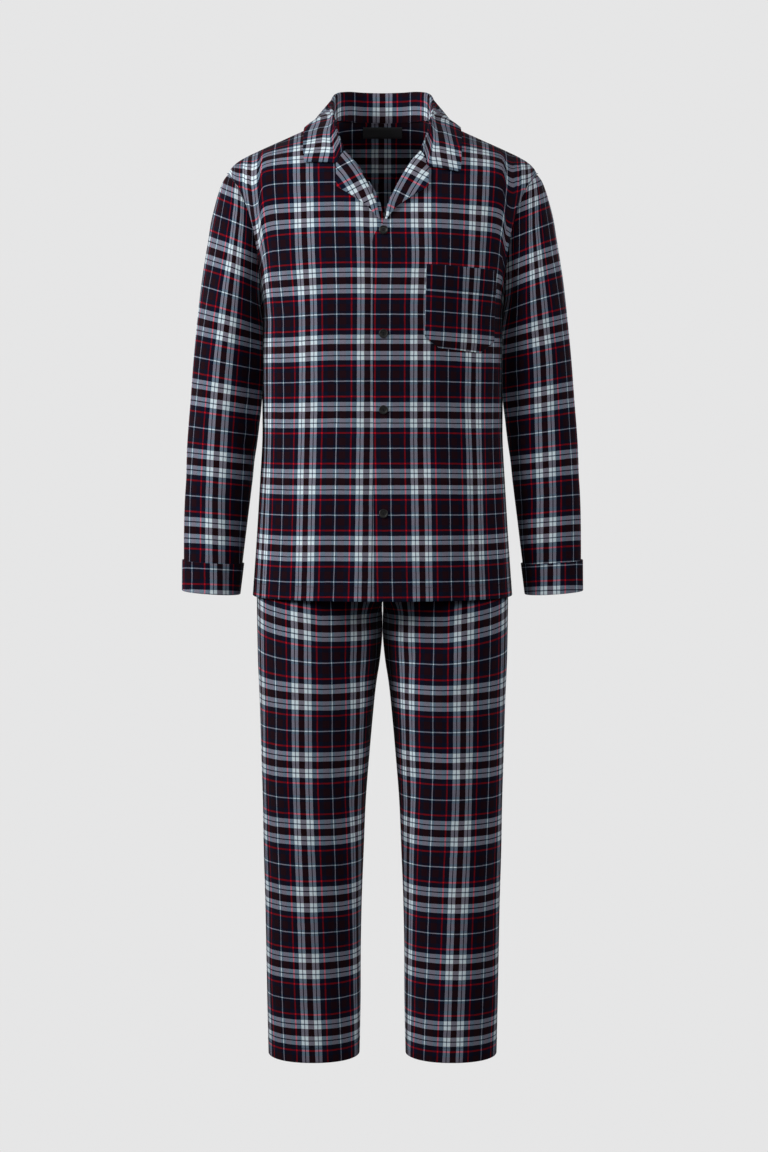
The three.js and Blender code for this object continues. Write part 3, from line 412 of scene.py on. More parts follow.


# %% [markdown]
# ## Creases, seams and hems
# Worn cotton is never quite smooth. Its creases are soft troughs and ridges, which are listed one
# by one on the flat cloth: where they lie, how wide and long they are, how they slant and how deep
# they go. They die out towards the seams, which pull the cloth flat and sink a little themselves.
# A free edge is turned under, as a hem is: the cloth rolls round a small radius and runs back
# inside.

# %% Creases, seams and hems
CALM = 16  # a seam keeps the cloth this far around it smooth
SEAM_DIP = 0.7
SEAM_SPREAD = 2.6
ROLL_STEPS = 5
ROLL_RADIUS = 1.15


def creased(sheet, creases, sewn=(), dip=SEAM_DIP):
    """Presses creases into a sheet: across, up, half width, half length, slant and depth."""
    across, up = sheet.cloth[..., 0], sheet.cloth[..., 1]
    depth = np.zeros_like(across)
    for place_across, place_up, wide, long, slant, deep in creases:
        turn = math.radians(slant)
        du, dv = across - place_across, up - place_up
        beside = (du * math.cos(turn) + dv * math.sin(turn)) / wide
        along = (dv * math.cos(turn) - du * math.sin(turn)) / long
        depth += deep * np.exp(-(beside**2) - along**2)
    for edge in sewn:
        depth *= ease(0, CALM, sheet.away_from(edge))
    for edge in sewn:
        depth += dip * np.exp(-((sheet.away_from(edge) / SEAM_SPREAD) ** 2))
    sheet.points = sheet.points - sheet.out * depth[..., None]
    return sheet


def turned_under(sheet, edge, rows_back, radius=ROLL_RADIUS):
    """Rolls the cloth under along an edge and runs it back inside for some rows of the grid."""
    axis = 1 if edge in ("start", "end") else 0
    step = -1 if edge in ("end", "top") else 1
    points, out, cloth = (
        np.moveaxis(a, axis, 0)[::step] for a in (sheet.points, sheet.out, sheet.cloth))
    radius = np.broadcast_to(radius, points.shape[1])[:, None]
    beyond, onward = unit(points[0] - points[1]), unit(cloth[0] - cloth[1])
    turns = np.linspace(np.pi, 0, ROLL_STEPS, endpoint=False)[:, None, None]
    around = out[0] * np.cos(turns) + beyond * np.sin(turns)
    rolled = points[0] - out[0] * radius + radius * around
    inside = slice(rows_back, 0, -1)
    back = points[inside] - 2 * radius * out[inside]
    rolled_cloth = cloth[0] + onward * turns * radius
    reach = np.linalg.norm(cloth[inside] - cloth[0], axis=-1, keepdims=True)
    back_cloth = cloth[0] + onward * (np.pi * radius + reach)
    parts = [(back, rolled, points), (-out[inside], around, out), (back_cloth, rolled_cloth, cloth)]
    joined = [np.moveaxis(np.concatenate(part)[::step], 0, axis) for part in parts]
    return Sheet(joined[0], joined[2], joined[1], sheet.closed)


# %% [markdown]
# ## The check
# A check is woven from striped warp and striped weft. Where two stripes of one colour cross, the
# colour is full, and where they cross another colour, the eye sees the average of the two. So
# the material reads the flat cloth twice: once across for the warp, and once along for the weft.
# Each list of stripes is measured from the middle of a pair of white lines, and mirrored.
# The mixing is done in display values, because that is how thread colours blend to the eye. Three
# powers then turn the result into light. They differ a little, so that white over navy looks
# bluish, as it does on the real cloth.

# %% Nodes
def new_look(name):
    look = bpy.data.materials.new(name)
    look.use_nodes = True
    return look


def node(look, kind, inputs=(), **settings):
    """Adds a node, sets its settings, and fills its inputs with values or with other outputs."""
    made = look.node_tree.nodes.new("ShaderNode" + kind)
    for key, value in settings.items():
        setattr(made, key, value)
    for key, value in dict(inputs).items():
        if isinstance(value, bpy.types.NodeSocket):
            look.node_tree.links.new(value, made.inputs[key])
        else:
            made.inputs[key].default_value = value
    return made


def calc(look, operation, *values):
    return node(look, "Math", enumerate(values), operation=operation).outputs[0]


def blended(look, share, a, b, how="MIX"):
    made = node(look, "Mix", {0: share, 6: a, 7: b}, data_type="RGBA", blend_type=how)
    return made.outputs[2]


def shader(look, **values):
    """Sets the values of the main shader and joins what is given as an output of a node."""
    main = look.node_tree.nodes["Principled BSDF"]
    for key, value in values.items():
        socket = main.inputs[key.replace("_", " ")]
        if isinstance(value, bpy.types.NodeSocket):
            look.node_tree.links.new(value, socket)
        else:
            socket.default_value = value
    return main


def two_tones(look, share, dark, pale):
    """A colour between two others, at a share from 0 to 1 of the way."""
    ramp = node(look, "ValToRGB", {0: share})
    for stop, colour in zip(ramp.color_ramp.elements, (dark, pale)):
        stop.color = (*colour, 1)
    return ramp.outputs[0]


# %% The check's stripes
NAVY, WHITE, RED = (0.045, 0.07, 0.125), (0.86, 0.9, 0.92), (0.78, 0.005, 0.07)
MAROON, PLUM = (0.15, 0.02, 0.04), (0.16, 0.025, 0.06)
WARP = [  # where a stripe starts, in shares of a period from the middle of a pair
    (0, MAROON), (0.0495, WHITE), (0.1015, NAVY), (0.1155, WHITE), (0.1675, NAVY),
    (0.245, RED), (0.269, NAVY), (0.345, PLUM), (0.45, NAVY), (0.491, WHITE),
]
WEFT = [
    (0, MAROON), (0.0535, WHITE), (0.1125, NAVY), (0.129, WHITE), (0.188, NAVY),
    (0.258, RED), (0.282, NAVY), (0.345, PLUM), (0.45, NAVY), (0.491, WHITE),
]
WARP_PERIOD, WEFT_PERIOD = 91.5, 100  # how often the stripes repeat, across and along the cloth
TO_LIGHT = (2.45, 2.2, 2)  # powers that turn display values into light, with bluish middle tones


def striped(look, place, stripes, period):
    """The colour of the yarn at a place, in metres, along one direction of the cloth."""
    turns = calc(look, "DIVIDE", place, period * MM)
    share = calc(look, "PINGPONG", turns, 0.5)
    ramp = node(look, "ValToRGB", {0: calc(look, "MULTIPLY", share, 2.0)})
    ramp.color_ramp.interpolation = "CONSTANT"
    stops = ramp.color_ramp.elements
    for start, colour in stripes[1:]:
        stops.new(start * 2).color = (*colour, 1)
    stops[0].color = (*stripes[0][1], 1)
    stops.remove(stops[len(stops) - 1])
    return ramp.outputs[0]


# %% [markdown]
# ## Brushed cotton
# The cloth is a twill, so warp and weft take turns on the face in fine slanting ribs. The brushing
# raises a short nap, which dulls the face, scatters light at grazing angles and makes the colour a
# little uneven. The ribs and the nap are a bump, because they are finer than half a millimetre.
# The sheen is a single number on the shader's own socket.

# %% Brushed check cotton
RIB = 1.1  # distance between two ribs of the twill
RIB_SHOWS = 0.1  # how much more of the warp, or of the weft, shows on a rib than on average
WANDER, SWAY = 60, 0.9  # fineness and width of the yarns' small turns
NAP, NAP_SHADE = 1500, 0.22  # fineness of the nap, and how much it shades the colour
CLOUD, CLOUD_SHADE = 22, 0.2  # the same for the slow changes in colour
RELIEF = 0.35  # height of the nap, and the share of it that the ribs have


def brushed_check():
    look = new_look("brushed check cotton")
    chart = node(look, "UVMap", uv_map="cloth").outputs[0]
    wander = node(look, "TexNoise", {"Vector": chart, "Scale": WANDER, "Detail": 2}).outputs[0]
    sway = calc(look, "MULTIPLY", calc(look, "SUBTRACT", wander, 0.5), SWAY * MM)
    split = node(look, "SeparateXYZ", {0: chart})
    across, along = (calc(look, "ADD", split.outputs[k], sway) for k in (0, 1))
    warp = striped(look, across, WARP, WARP_PERIOD)
    weft = striped(look, along, WEFT, WEFT_PERIOD)
    slant = calc(look, "ADD", split.outputs[0], split.outputs[1])
    rib = calc(look, "SINE", calc(look, "MULTIPLY", slant, 2 * math.pi / (RIB * MM)))
    woven = blended(look, calc(look, "MULTIPLY_ADD", rib, RIB_SHOWS, 0.5), warp, weft)
    nap = node(look, "TexNoise", {"Vector": chart, "Scale": NAP, "Detail": 3}).outputs[0]
    cloud = node(look, "TexNoise", {"Vector": chart, "Scale": CLOUD, "Detail": 4}).outputs[0]
    clouded = calc(look, "MULTIPLY_ADD", cloud, CLOUD_SHADE, 0.8)
    tone = calc(look, "MULTIPLY_ADD", nap, NAP_SHADE, clouded)
    shade = node(look, "CombineColor", {0: tone, 1: tone, 2: tone}).outputs[0]
    toned = blended(look, 1.0, woven, shade, "MULTIPLY")
    shown = node(look, "SeparateColor", {0: toned})
    parts = {k: calc(look, "POWER", shown.outputs[k], TO_LIGHT[k]) for k in range(3)}
    light = node(look, "CombineColor", parts).outputs[0]
    height = calc(look, "MULTIPLY_ADD", rib, RELIEF, nap)
    bump = node(look, "Bump", {"Strength": 0.35, "Distance": RELIEF * MM, "Height": height})
    shader(look, Base_Color=light, Roughness=0.92, Normal=bump.outputs[0], Sheen_Weight=0.04)
    shader(look, Sheen_Roughness=0.5, Specular_IOR_Level=0.12)
    return look


check = brushed_check()
print("check repeats every", WARP_PERIOD, "by", WEFT_PERIOD, "mm")

# %% [markdown]
# ## The two fronts
# Each front is cut in one with its button edge. The wearer's left one laps over the right one.
# A row of the grid runs from the side seam or the armhole to the inner edge, evenly along the
# cloth. The left front lies on the form. The right front sinks beneath it near the centre line,
# so that the two layers don't cross.

# %% The form of a front
LOW_ROWS = 96  # from the hem to the underarm
HIGH_ROWS = 64  # from the underarm to the shoulder
FRONT_COLUMNS = 58
FRONT_FINE = 240  # points of a finely drawn line
LAP_DROP = 3.1  # how far the lower front sinks
LAP_FULL, LAP_NONE = 15, 38  # distances from the centre line where it sinks fully, and not at all
LAP_FROM, LAP_TO = -160, -118  # heights between which the two layers come to lie side by side
levels = np.linspace(JACKET_HEM, UNDERARM, LOW_ROWS, endpoint=False)
yoke_shares = np.linspace(0, 1, HIGH_ROWS + 1)
row_shares = np.r_[np.zeros(LOW_ROWS), yoke_shares]


def front_line(z, edge):
    """A level row of a front below the underarm, finely drawn from the side seam."""
    half = float(torso_half(z))
    x = half * bent(np.cos(np.linspace(0, angle_of(float(edge(z)), half), FRONT_FINE)), SQUARE)
    return point(x, -hanging("front", x, z), z)


def front_yoke_line(share, edge):
    """A row of a front above the underarm, finely drawn from the armhole."""
    outer, inner = seam_at(armhole_x, "front", share), seam_at(edge, "front", share)
    half = max(float(torso_half(yoke("front", outer, share)[2])), outer)
    angles = np.linspace(angle_of(outer, half), angle_of(inner, half), FRONT_FINE)
    return yoke("front", half * bent(np.cos(angles), SQUARE), share)


def front_sheet(edge):
    lines = [front_line(z, edge) for z in levels] + [front_yoke_line(s, edge) for s in yoke_shares]
    points = np.array([spaced(line, crowded(FRONT_COLUMNS)) for line in lines])
    sheet = Sheet(points, flat_jacket("front", points, row_shares), outward(points))
    sheet.out[:LOW_ROWS, 0, 1] = 0
    sheet.out[-1, :, 1] = 0
    sheet.out = unit(sheet.out)
    return sheet


upper, lower = front_sheet(upper_edge), front_sheet(lower_edge)
drop = 1 - ease(LAP_FULL, LAP_NONE, lower.points[..., 0])
drop = LAP_DROP * drop * (1 - ease(LAP_FROM, LAP_TO, lower.points[..., 2]))
lower.points = lower.points - lower.out * drop[..., None]
print("front", upper.points.shape, "grid points")

# %% [markdown]
# The creases of the fronts run from the armhole towards the chest, and hang in long soft folds
# from the chest to the hem. No two are alike, and the two sides differ, as they do when worn.

# %% The fronts
FRONT_LEFT_CREASES = [  # across, up, half width, half length, slant, depth
    (206, -206, 19, 62, 22, 2.9), (166, -262, 20, 58, 30, -1.7), (214, -268, 11, 30, 48, 1.5),
    (182, -560, 21, 130, -3, 2.5), (98, -650, 26, 84, 4, -1.7), (226, -450, 15, 86, 5, 1.7),
    (58, -505, 17, 64, -6, 1.2), (136, -452, 14, 52, 13, 1.3), (208, -668, 14, 66, -5, -1.5),
    (118, -128, 14, 44, 38, 1.3), (40, -392, 10, 30, 64, 0.8), (34, -548, 11, 36, -58, 0.8),
]
FRONT_RIGHT_CREASES = [
    (202, -216, 20, 66, 26, 3.0), (158, -254, 17, 52, 24, -1.6), (218, -282, 12, 28, 42, 1.3),
    (168, -590, 23, 118, 2, 2.6), (104, -622, 22, 96, -3, -1.8), (228, -520, 14, 92, -4, 1.9),
    (66, -430, 18, 58, 8, 1.2), (142, -404, 13, 44, 18, 1.2), (62, -676, 15, 50, 6, 1.2),
    (126, -142, 15, 40, 34, 1.3), (38, -318, 10, 34, 58, 0.9), (42, -480, 12, 34, -62, 0.7),
]
HEM_ROWS = 5
INNER_RADIUS = 0.8  # of the free edge where it rolls round the turned-up hem

LEFT_DRIFT = [  # height, then how far the stripes drift out and down, near the buttons and far off
    (-733, 4.2, 1.5, 0, 0.3), (-676, 3.1, 0.3, 0, 0.4), (-555, 1.2, -1.5, -0.3, 1.3),
    (-500, 0.2, -2.7, 0, 1.5), (-433, -0.1, -4.6, 0.3, 2), (-356, 0, -4.2, 0, 3),
    (-283, 0.2, -3.4, 1.5, 4.5), (-222, 2.1, -2.4, 2.4, 5.6), (-160, 0.7, -1.4, 3.7, 7),
    (-60, 1, 0, 4, 7),
]
RIGHT_DRIFT = [
    (-733, 4.4, 7, 0, 2.1), (-676, 3.3, 5.2, 0, 2.1), (-555, 1.8, 3, 0, 1.2),
    (-500, 0.9, 1.9, 0, 1.3), (-433, 0.3, 0.5, 0, 1.8), (-356, 0, 0.4, 0, 3.1),
    (-283, -0.6, 0.8, 1, 3.7), (-222, -0.4, 3, 1.5, 3.8), (-160, 1.4, 4.4, 1.8, 3.5),
    (-60, 2, 6, 2, 4),
]
FRONT_MATCH = {"left": (56.8, -354.5), "right": (-22.6, -354.5)}
NEAR, FAR = {"left": 50, "right": 20}, {"left": 145, "right": 116}  # where the tables hold, across
DOWN_NEAR, DOWN_FAR = 70, 160  # the same for the drift down

creased(upper, FRONT_LEFT_CREASES, ("start", "top"))
creased(lower, FRONT_RIGHT_CREASES, ("start", "top"))


def drifted(cloth, drift, near, far):
    """Moves the stripes on the chart to where the photo shows them, by a few millimetres."""
    across, up = cloth[..., 0], cloth[..., 1]
    share, low = ease(near, far, across), ease(DOWN_NEAR, DOWN_FAR, across)
    out = mix(through(drift, 1)(up), through(drift, 2)(up), share)
    down = mix(through(drift, 3)(up), through(drift, 4)(up), low)
    return np.stack([across - out, up + down], axis=-1)


upper.cloth = drifted(upper.cloth, LEFT_DRIFT, NEAR["left"], FAR["left"])
lower.cloth = drifted(lower.cloth, RIGHT_DRIFT, NEAR["right"], FAR["right"])
fronts = {"left": upper, "right": lower.mirrored()}


def hemmed(sheet, free_edge=None):
    """A panel with its hem turned up, and its free edge rolled under."""
    done = turned_under(sheet, "bottom", HEM_ROWS)
    if not free_edge:
        return done
    hem_top = [HEM_ROWS, HEM_ROWS + ROLL_STEPS]
    radius = np.interp(np.arange(len(done.points)), hem_top, [INNER_RADIUS, ROLL_RADIUS])
    return turned_under(done, free_edge, 0, radius)


for side, sheet in fronts.items():
    piece = lay(f"front_{side}_cloth", hemmed(sheet, "end"), FRONT_MATCH[side])
    dress(piece, check, f"front_{side}")

# %% [markdown]
# ## The back
# The back is one piece from side seam to side seam, with the neckline cut into its top edge. Its
# columns are shared out so that one falls on each neck point, where the edge turns from the
# shoulder seam into the neckline. A pair of white lines runs down its middle.

# %% The form of the back
BACK_CROWD = 0.5  # how much closer together its columns lie at the side seams
SIDE_COLUMNS = 34  # between an armhole and a neck point
NECK_COLUMNS = 44
BACK_COLUMNS = 2 * SIDE_COLUMNS + NECK_COLUMNS
FINE = 160  # points of a finely drawn line


def back_line(z):
    x = float(torso_half(z)) * bent(np.cos(np.linspace(0, np.pi, 3 * FINE)), SQUARE)
    return point(x, hanging("back", x, z), z)


def back_yoke_line(share):
    outer = seam_at(armhole_x, "back", share)
    neck = NECK_HALF * np.cos(np.linspace(0, np.pi, FINE))
    shoulder = np.linspace(outer, NECK_HALF, FINE)
    return yoke("back", np.r_[shoulder[:-1], neck, -shoulder[::-1][1:]], share)


def back_shares(line, share):
    """Even shares low down, and shares that meet the neck points at the top."""
    run = run_along(line)
    neck_point = run[FINE - 1] / run[-1]
    side = crowded(2 * SIDE_COLUMNS)[: SIDE_COLUMNS + 1] * 2 * neck_point
    middle = np.linspace(neck_point, 1 - neck_point, NECK_COLUMNS + 1)
    top = np.r_[side[:-1], middle, 1 - side[::-1][1:]]
    return mix(crowded(BACK_COLUMNS, BACK_CROWD), top, ease(0.3, 1, share))


back_rows = [spaced(back_line(z), crowded(BACK_COLUMNS, BACK_CROWD)) for z in levels]
for share in yoke_shares:
    line = back_yoke_line(share)
    back_rows.append(spaced(line, back_shares(line, share)))
back_points = np.array(back_rows)
back = Sheet(back_points, flat_jacket("back", back_points, row_shares), outward(back_points))
for column in (0, -1):
    back.out[:LOW_ROWS, column, 1] = 0
on_shoulder = np.abs(back.points[-1, :, 0]) > NECK_HALF - 0.5
back.out[-1, on_shoulder, 1] = 0
back.out = unit(back.out)
print("back", back.points.shape, "grid points")

# %% The back
BACK_CREASES = [  # across, up, half width, half length, slant, depth
    (104, -560, 17, 140, 3, 3.2), (62, -600, 18, 96, -2, -2.2), (-22, -570, 17, 132, -2, 2.8),
    (-96, -590, 16, 124, -4, 2.7), (-150, -520, 18, 90, 5, -1.8), (158, -470, 15, 84, -8, 1.8),
    (188, -262, 14, 52, -34, 2.2), (-192, -250, 15, 58, 36, 2.4), (140, -226, 16, 46, -48, 1.4),
    (-136, -212, 15, 44, 44, 1.5), (40, -420, 20, 60, 10, 1.2), (-58, -398, 18, 66, -12, 1.3),
    (6, -130, 60, 13, 0, 1.2), (206, -640, 14, 62, 4, 1.6), (-210, -620, 15, 70, -5, 1.7),
]
BACK_MATCH = (-2, -354.5)

creased(back, BACK_CREASES, ("start", "end", "top"))
dress(lay("back_cloth", hemmed(back), BACK_MATCH), check, "back")

# %% [markdown]
# ## The sleeves
# A sleeve is a tube of rings that tilt from the armhole to the wrist. The first ring is the
# armhole itself, and the next ones ease from it into plain ovals. In the flat cloth, the check
# runs straight down a line on the front of the sleeve, and the cross lines stand square to the
# sleeve's own axis.

# %% The form of a sleeve
SLEEVE_SQUARE = 2.1
SLEEVE_RINGS = [  # number, height outside, height inside, depth, place in y, share of armhole
    (0, -86.5, -310, 73, -4, 1), (1, -104, -316, 78, -3, 0.86), (2, -134, -322, 81, -2, 0.66),
    (3, -170, -329, 83, -1, 0.44), (4, -210, -337, 83, 0, 0.24), (5, -254, -347, 81, 1, 0.1),
    (6, -300, -363, 77, 2, 0), (7, -350, -392, 73, 2, 0), (8, -430, -455, 66, 1, 0),
    (9, -520, -535, 58, -5, 0), (10, -620, -629, 50, -12, 0), (11, -674, -680, 46.5, -15, 0),
    (12, -725, -731, 44, -18, 0),
]
SLEEVE_OUTER = [  # height, distance from the centre line
    (-725, 307.6), (-618, 306.6), (-556, 304.6), (-494, 301.4), (-433, 296.6), (-371, 291.6),
    (-310, 285.3), (-248, 278), (-187, 268.4), (-157, 263.6), (-126, 255.8), (-111, 251.1),
    (-96, 244.9), (-86.5, 238),
]
SLEEVE_INNER = [
    (-731, 222.5), (-674, 215.4), (-618, 208.6), (-556, 201), (-525, 197.8), (-494, 193.2),
    (-448, 188.6), (-400, 188), (-350, 189), (-329, 189.6), (-316, 189), (-310, 186),
]
LAST_RING = 12
SLEEVE_ENDS = 0.985
SLEEVE_ROWS, SLEEVE_COLUMNS = 120, 84
HEAD_CROWD = 1.18  # above 1, the rows lie closer together at the head of the sleeve
ring_values = [through(SLEEVE_RINGS, column) for column in (1, 2, 3, 4, 5)]
sleeve_outer, sleeve_inner = through(SLEEVE_OUTER, 1), through(SLEEVE_INNER, 1)
ring_angles = np.linspace(0, 2 * np.pi, SLEEVE_COLUMNS + 1)
SLEEVE_REST = [  # height inside, and how far the cloth leans on the body there
    (-520, 0), (-448, 6), (-400, 9.5), (-350, 9.5), (-327, 8.5), (-318, 5), (-310, 0),
]
REST_ANGLE, REST_SPREAD = 0.45, 0.3  # where round the arm it leans, from the inside, and how far
sleeve_rest = through(SLEEVE_REST, 1)


def oval(place, angles):
    """A ring of the sleeve, from the inside of the arm round by the front."""
    out_z, in_z, depth, middle_y, _ = (values(place) for values in ring_values)
    outside = point(sleeve_outer(out_z), 0, out_z)
    inside = point(sleeve_inner(in_z), 0, in_z)
    share = (1 - bent(np.cos(angles), SLEEVE_SQUARE)) / 2
    ring = mix(inside, outside, share[:, None])
    ring[:, 1] = middle_y - depth * bent(np.sin(angles), SLEEVE_SQUARE)
    ring[:, 0] -= sleeve_rest(in_z) * np.exp(-(((angles - REST_ANGLE) / REST_SPREAD) ** 2))
    return ring


def armhole_points(angles):
    """The armhole seam, up the front half and down the back half, evenly along the seam."""
    front = np.array([yoke("front", seam_at(armhole_x, "front", s), s) for s in yoke_shares])
    rear = np.array([yoke("back", seam_at(armhole_x, "back", s), s) for s in yoke_shares])
    up = spaced(front, np.clip(angles / np.pi, 0, 1))
    down = spaced(rear, np.clip(2 - angles / np.pi, 0, 1))
    return np.where((angles <= np.pi)[:, None], up, down)


shift = armhole_points(ring_angles) - oval(0.0, ring_angles)


def sleeve_ring(place):
    share = max(0.0, float(ring_values[4](place)))
    return oval(place, ring_angles) + shift * share


# %% [markdown]
# The cross lines drop towards the body, steeply at the head of the sleeve and less towards the
# wrist. So the tape along the sleeve is read square to planes that tilt by that much, and the
# tape round it is laid in those planes.

# %% The sleeve in the flat cloth
GRAIN = {  # height and distance of the pair of stripes on the front
    "left": [(-581, 250.1), (-478, 247.1), (-369, 243.1), (-279, 235.4), (-219, 231.2), (-175, 228.6)],
    "right": [(-584, 255.4), (-479, 250.4), (-372, 241.3), (-279, 230.5), (-219, 223.7), (-150, 217)],
}
CROSS_SLOPE = [  # height, slope of the cross lines
    (-740, 0.02), (-634, 0.08), (-531, 0.11), (-430, 0.165), (-326, 0.24), (-221, 0.375), (-170, 0.42),
]
VIEW_BEND = 1.3 / CAMERA_PLACE[1]  # keeps the cross lines straight in a view from the front
cross_slope = through(CROSS_SLOPE, 1)


def flat_tube(points, grain):
    """Across and up in the flat cloth for the rings of a tube."""
    middles = points[:, :-1].mean(axis=1)
    z = middles[:, 2]
    upright = unit(point(-cross_slope(z), (z - CAMERA_PLACE[2]) * VIEW_BEND, 1.0))
    climb = (np.diff(middles, axis=0) * (upright[1:] + upright[:-1]) / 2).sum(axis=1)
    up = np.r_[0, np.cumsum(climb)][:, None] + ((points - middles[:, None]) * upright[:, None]).sum(-1)
    steps = np.diff(points, axis=1)
    steps -= (steps * upright[:, None]).sum(-1, keepdims=True) * upright[:, None]
    tape = np.insert(np.cumsum(np.linalg.norm(steps, axis=-1), axis=1), 0, 0, axis=1)
    front = slice(points.shape[1] // 8, points.shape[1] // 2 + 1)
    beside = points[:, front, 0] - through(grain, 1)(points[:, front, 2])
    zero = np.array([np.interp(0, row, run) for row, run in zip(beside, tape[:, front])])
    return np.stack([tape - zero[:, None], up], axis=-1)


places = LAST_RING * SLEEVE_ENDS * np.linspace(0, 1, SLEEVE_ROWS + 1) ** HEAD_CROWD
sleeve_points = np.array([sleeve_ring(place) for place in places])
wrist = sleeve_points[-1].mean(axis=0)[:2]
sleeve_out = outward(sleeve_points, wrist, True)
sleeves = {}
for side, grain in GRAIN.items():
    sleeves[side] = Sheet(sleeve_points, flat_tube(sleeve_points, grain), sleeve_out, True)
print("sleeve is", round(float(np.ptp(sleeves["left"].cloth[..., 1]))), "mm long")

# %% [markdown]
# An arm that hangs pushes the cloth into slanting folds at the bend of the elbow and beneath the
# head of the sleeve. They are deeper on the inside of the arm, and each sleeve has its own.

# %% The sleeves
SLEEVE_CREASES = {  # across from the front line, up, half width, half length, slant, depth
    "left": [
        (-52, -250, 11, 44, -58, 2.8), (-60, -292, 10, 40, -66, 2.3), (-44, -214, 10, 34, -50, 1.6),
        (196, -262, 12, 46, 60, 2.6), (184, -318, 10, 36, 66, 1.8), (24, -430, 12, 62, 10, 1.6),
        (-30, -392, 9, 40, -40, 1.3), (70, -340, 12, 50, 24, 1.1), (96, -470, 11, 46, -14, 1.3),
        (-48, -505, 9, 34, -52, 1.4), (8, -130, 12, 44, 22, 1.2), (66, -120, 10, 40, -16, 1.0),
        (128, -420, 13, 60, 12, 1.5), (30, -520, 10, 30, 58, 1.1),
    ],
    "right": [
        (-56, -262, 12, 46, -62, 2.7), (-50, -308, 9, 36, -70, 2.0), (-62, -222, 10, 30, -46, 1.7),
        (190, -250, 12, 44, 56, 2.5), (200, -306, 10, 40, 64, 1.9), (18, -404, 13, 56, 14, 1.5),
        (-36, -440, 9, 38, -34, 1.4), (78, -372, 12, 48, 18, 1.2), (88, -500, 10, 40, -20, 1.2),
        (-44, -538, 9, 30, -56, 1.3), (14, -146, 12, 40, 26, 1.3), (60, -104, 10, 42, -12, 1.0),
        (132, -446, 13, 56, 10, 1.4), (26, -480, 10, 28, 62, 1.0),
    ],
}
SLEEVE_MATCH = {"left": (0, -142), "right": (0, -134.8)}
SLEEVE_GIVE = {"left": (1, 0.987), "right": (1, 0.955)}
HEAD_DIP = 0.3  # the seam at the head of a sleeve sinks less than others


def on_both_arms(name, sheets, match, wall):
    """Lays a tube on the wearer's left arm and the mirror image of one on the right."""
    for side, tube in sheets.items():
        turned = tube if side == "left" else tube.mirrored()
        piece = lay(f"{name}_{side}_cloth", turned, match[side], SLEEVE_GIVE[side], wall)
        dress(piece, check, f"{name}_{side}")


for side, creases in SLEEVE_CREASES.items():
    creased(sleeves[side], creases, ("bottom",), HEAD_DIP)
on_both_arms("sleeve", sleeves, SLEEVE_MATCH, CLOTH_WALL)

# %% [markdown]
# ## The cuffs
# The cuff is a band that is turned back over the end of the sleeve. It stands off the sleeve by
# the thickness of the cloth, and its own check doesn't meet that of the sleeve. Its lower edge
# rolls under and runs up inside, and its upper edge is a fold too.

# %% The cuffs
CUFF_FROM = 0.925  # share of the way down the sleeve where the cuff starts
CUFF_LIFT = 2.75
CUFF_LEVEL = 0.3  # below 1, it stands off more sideways than up
CUFF_ROWS = 22
CUFF_WALL = 0.8
CUFF_TOP_ROWS, CUFF_BOTTOM_ROWS = 16, 4  # how far its edges run back inside
CUFF_MATCH = {"left": (6.3, -57.4), "right": (7.2, -64.4)}
CUFF_CREASES = {
    "left": [(-30, -30, 14, 22, 20, 0.8), (40, -26, 12, 20, -24, 0.7), (110, -32, 14, 24, 12, 0.8)],
    "right": [(-22, -26, 13, 22, -18, 0.8), (50, -34, 12, 22, 22, 0.7), (120, -28, 13, 20, -8, 0.7)],
}

cuff_places = np.linspace(CUFF_FROM, 1, CUFF_ROWS + 1) * LAST_RING
cuff_points = np.array([sleeve_ring(place) for place in cuff_places])
cuff_out = unit(outward(cuff_points, wrist, True) * (1, 1, CUFF_LEVEL))
cuff_points = cuff_points + cuff_out * CUFF_LIFT
cuffs = {}
for side, creases in CUFF_CREASES.items():
    cuff_cloth = flat_tube(cuff_points, GRAIN[side])
    cuff = creased(Sheet(cuff_points, cuff_cloth, cuff_out, True), creases)
    cuff = turned_under(cuff, "top", CUFF_TOP_ROWS)
    cuffs[side] = turned_under(cuff, "bottom", CUFF_BOTTOM_ROWS, CUFF_WALL)
on_both_arms("cuff", cuffs, CUFF_MATCH, CUFF_WALL)

# %% [markdown]
# ## The collar
# The collar is one strip that stands up from the neckline, rolls over a soft fold and falls onto
# the shoulders, from notch to notch. It is drawn as profiles at a few stations round the neck.
# Smooth curves then run through the stations, and along each profile.

# %% The profiles of the collar
COLLAR = [  # side, share or turn of the neckline, stand, edge x, lean of the edge, bow, notch
    ("front", 0.58, 4.4, 116, 6.3, 0, (68.5, -80)), ("front", 0.66, 6.6, 117.5, 21, 0, (78, -61)),
    ("front", 0.76, 10, 118, 41, 0, (88.5, -37)), ("front", 0.88, 13.5, 117, 65, 1.5, None),
    ("front", 1, 21, 115, 90, 1, None), ("back", 22.5, 40, 107, 71, 1, None),
    ("back", 45, 46.5, 88, 56, 2, None), ("back", 67.5, 47, 51, 48.5, 3, None),
    ("back", 90, 47, 0, 49, 4, None),
]
LONGER_LEFT_END = [  # the wearer's left end reaches lower
    ("front", 0.58, 4.4, 116, -3, 0, (67, -85)), ("front", 0.66, 6.6, 117.5, 15, 0, (77.5, -65)),
]
FOLD_RADIUS = 3.4
COLLAR_LIFT = 4.1  # how far the fall's visible side stands off the jacket
NOTCH_AT = 0.4  # share of the way down the fall
FOLD_TURNS = [50, 100, 150, 190]  # degrees round the fold at which its points lie
LEAST_STAND = 0.8
COLLAR_WALL = 1.7
JACKET_FINE = 400  # points of an upright line over the jacket
NEARBY = 2  # how far off the points lie that show which way the cloth faces


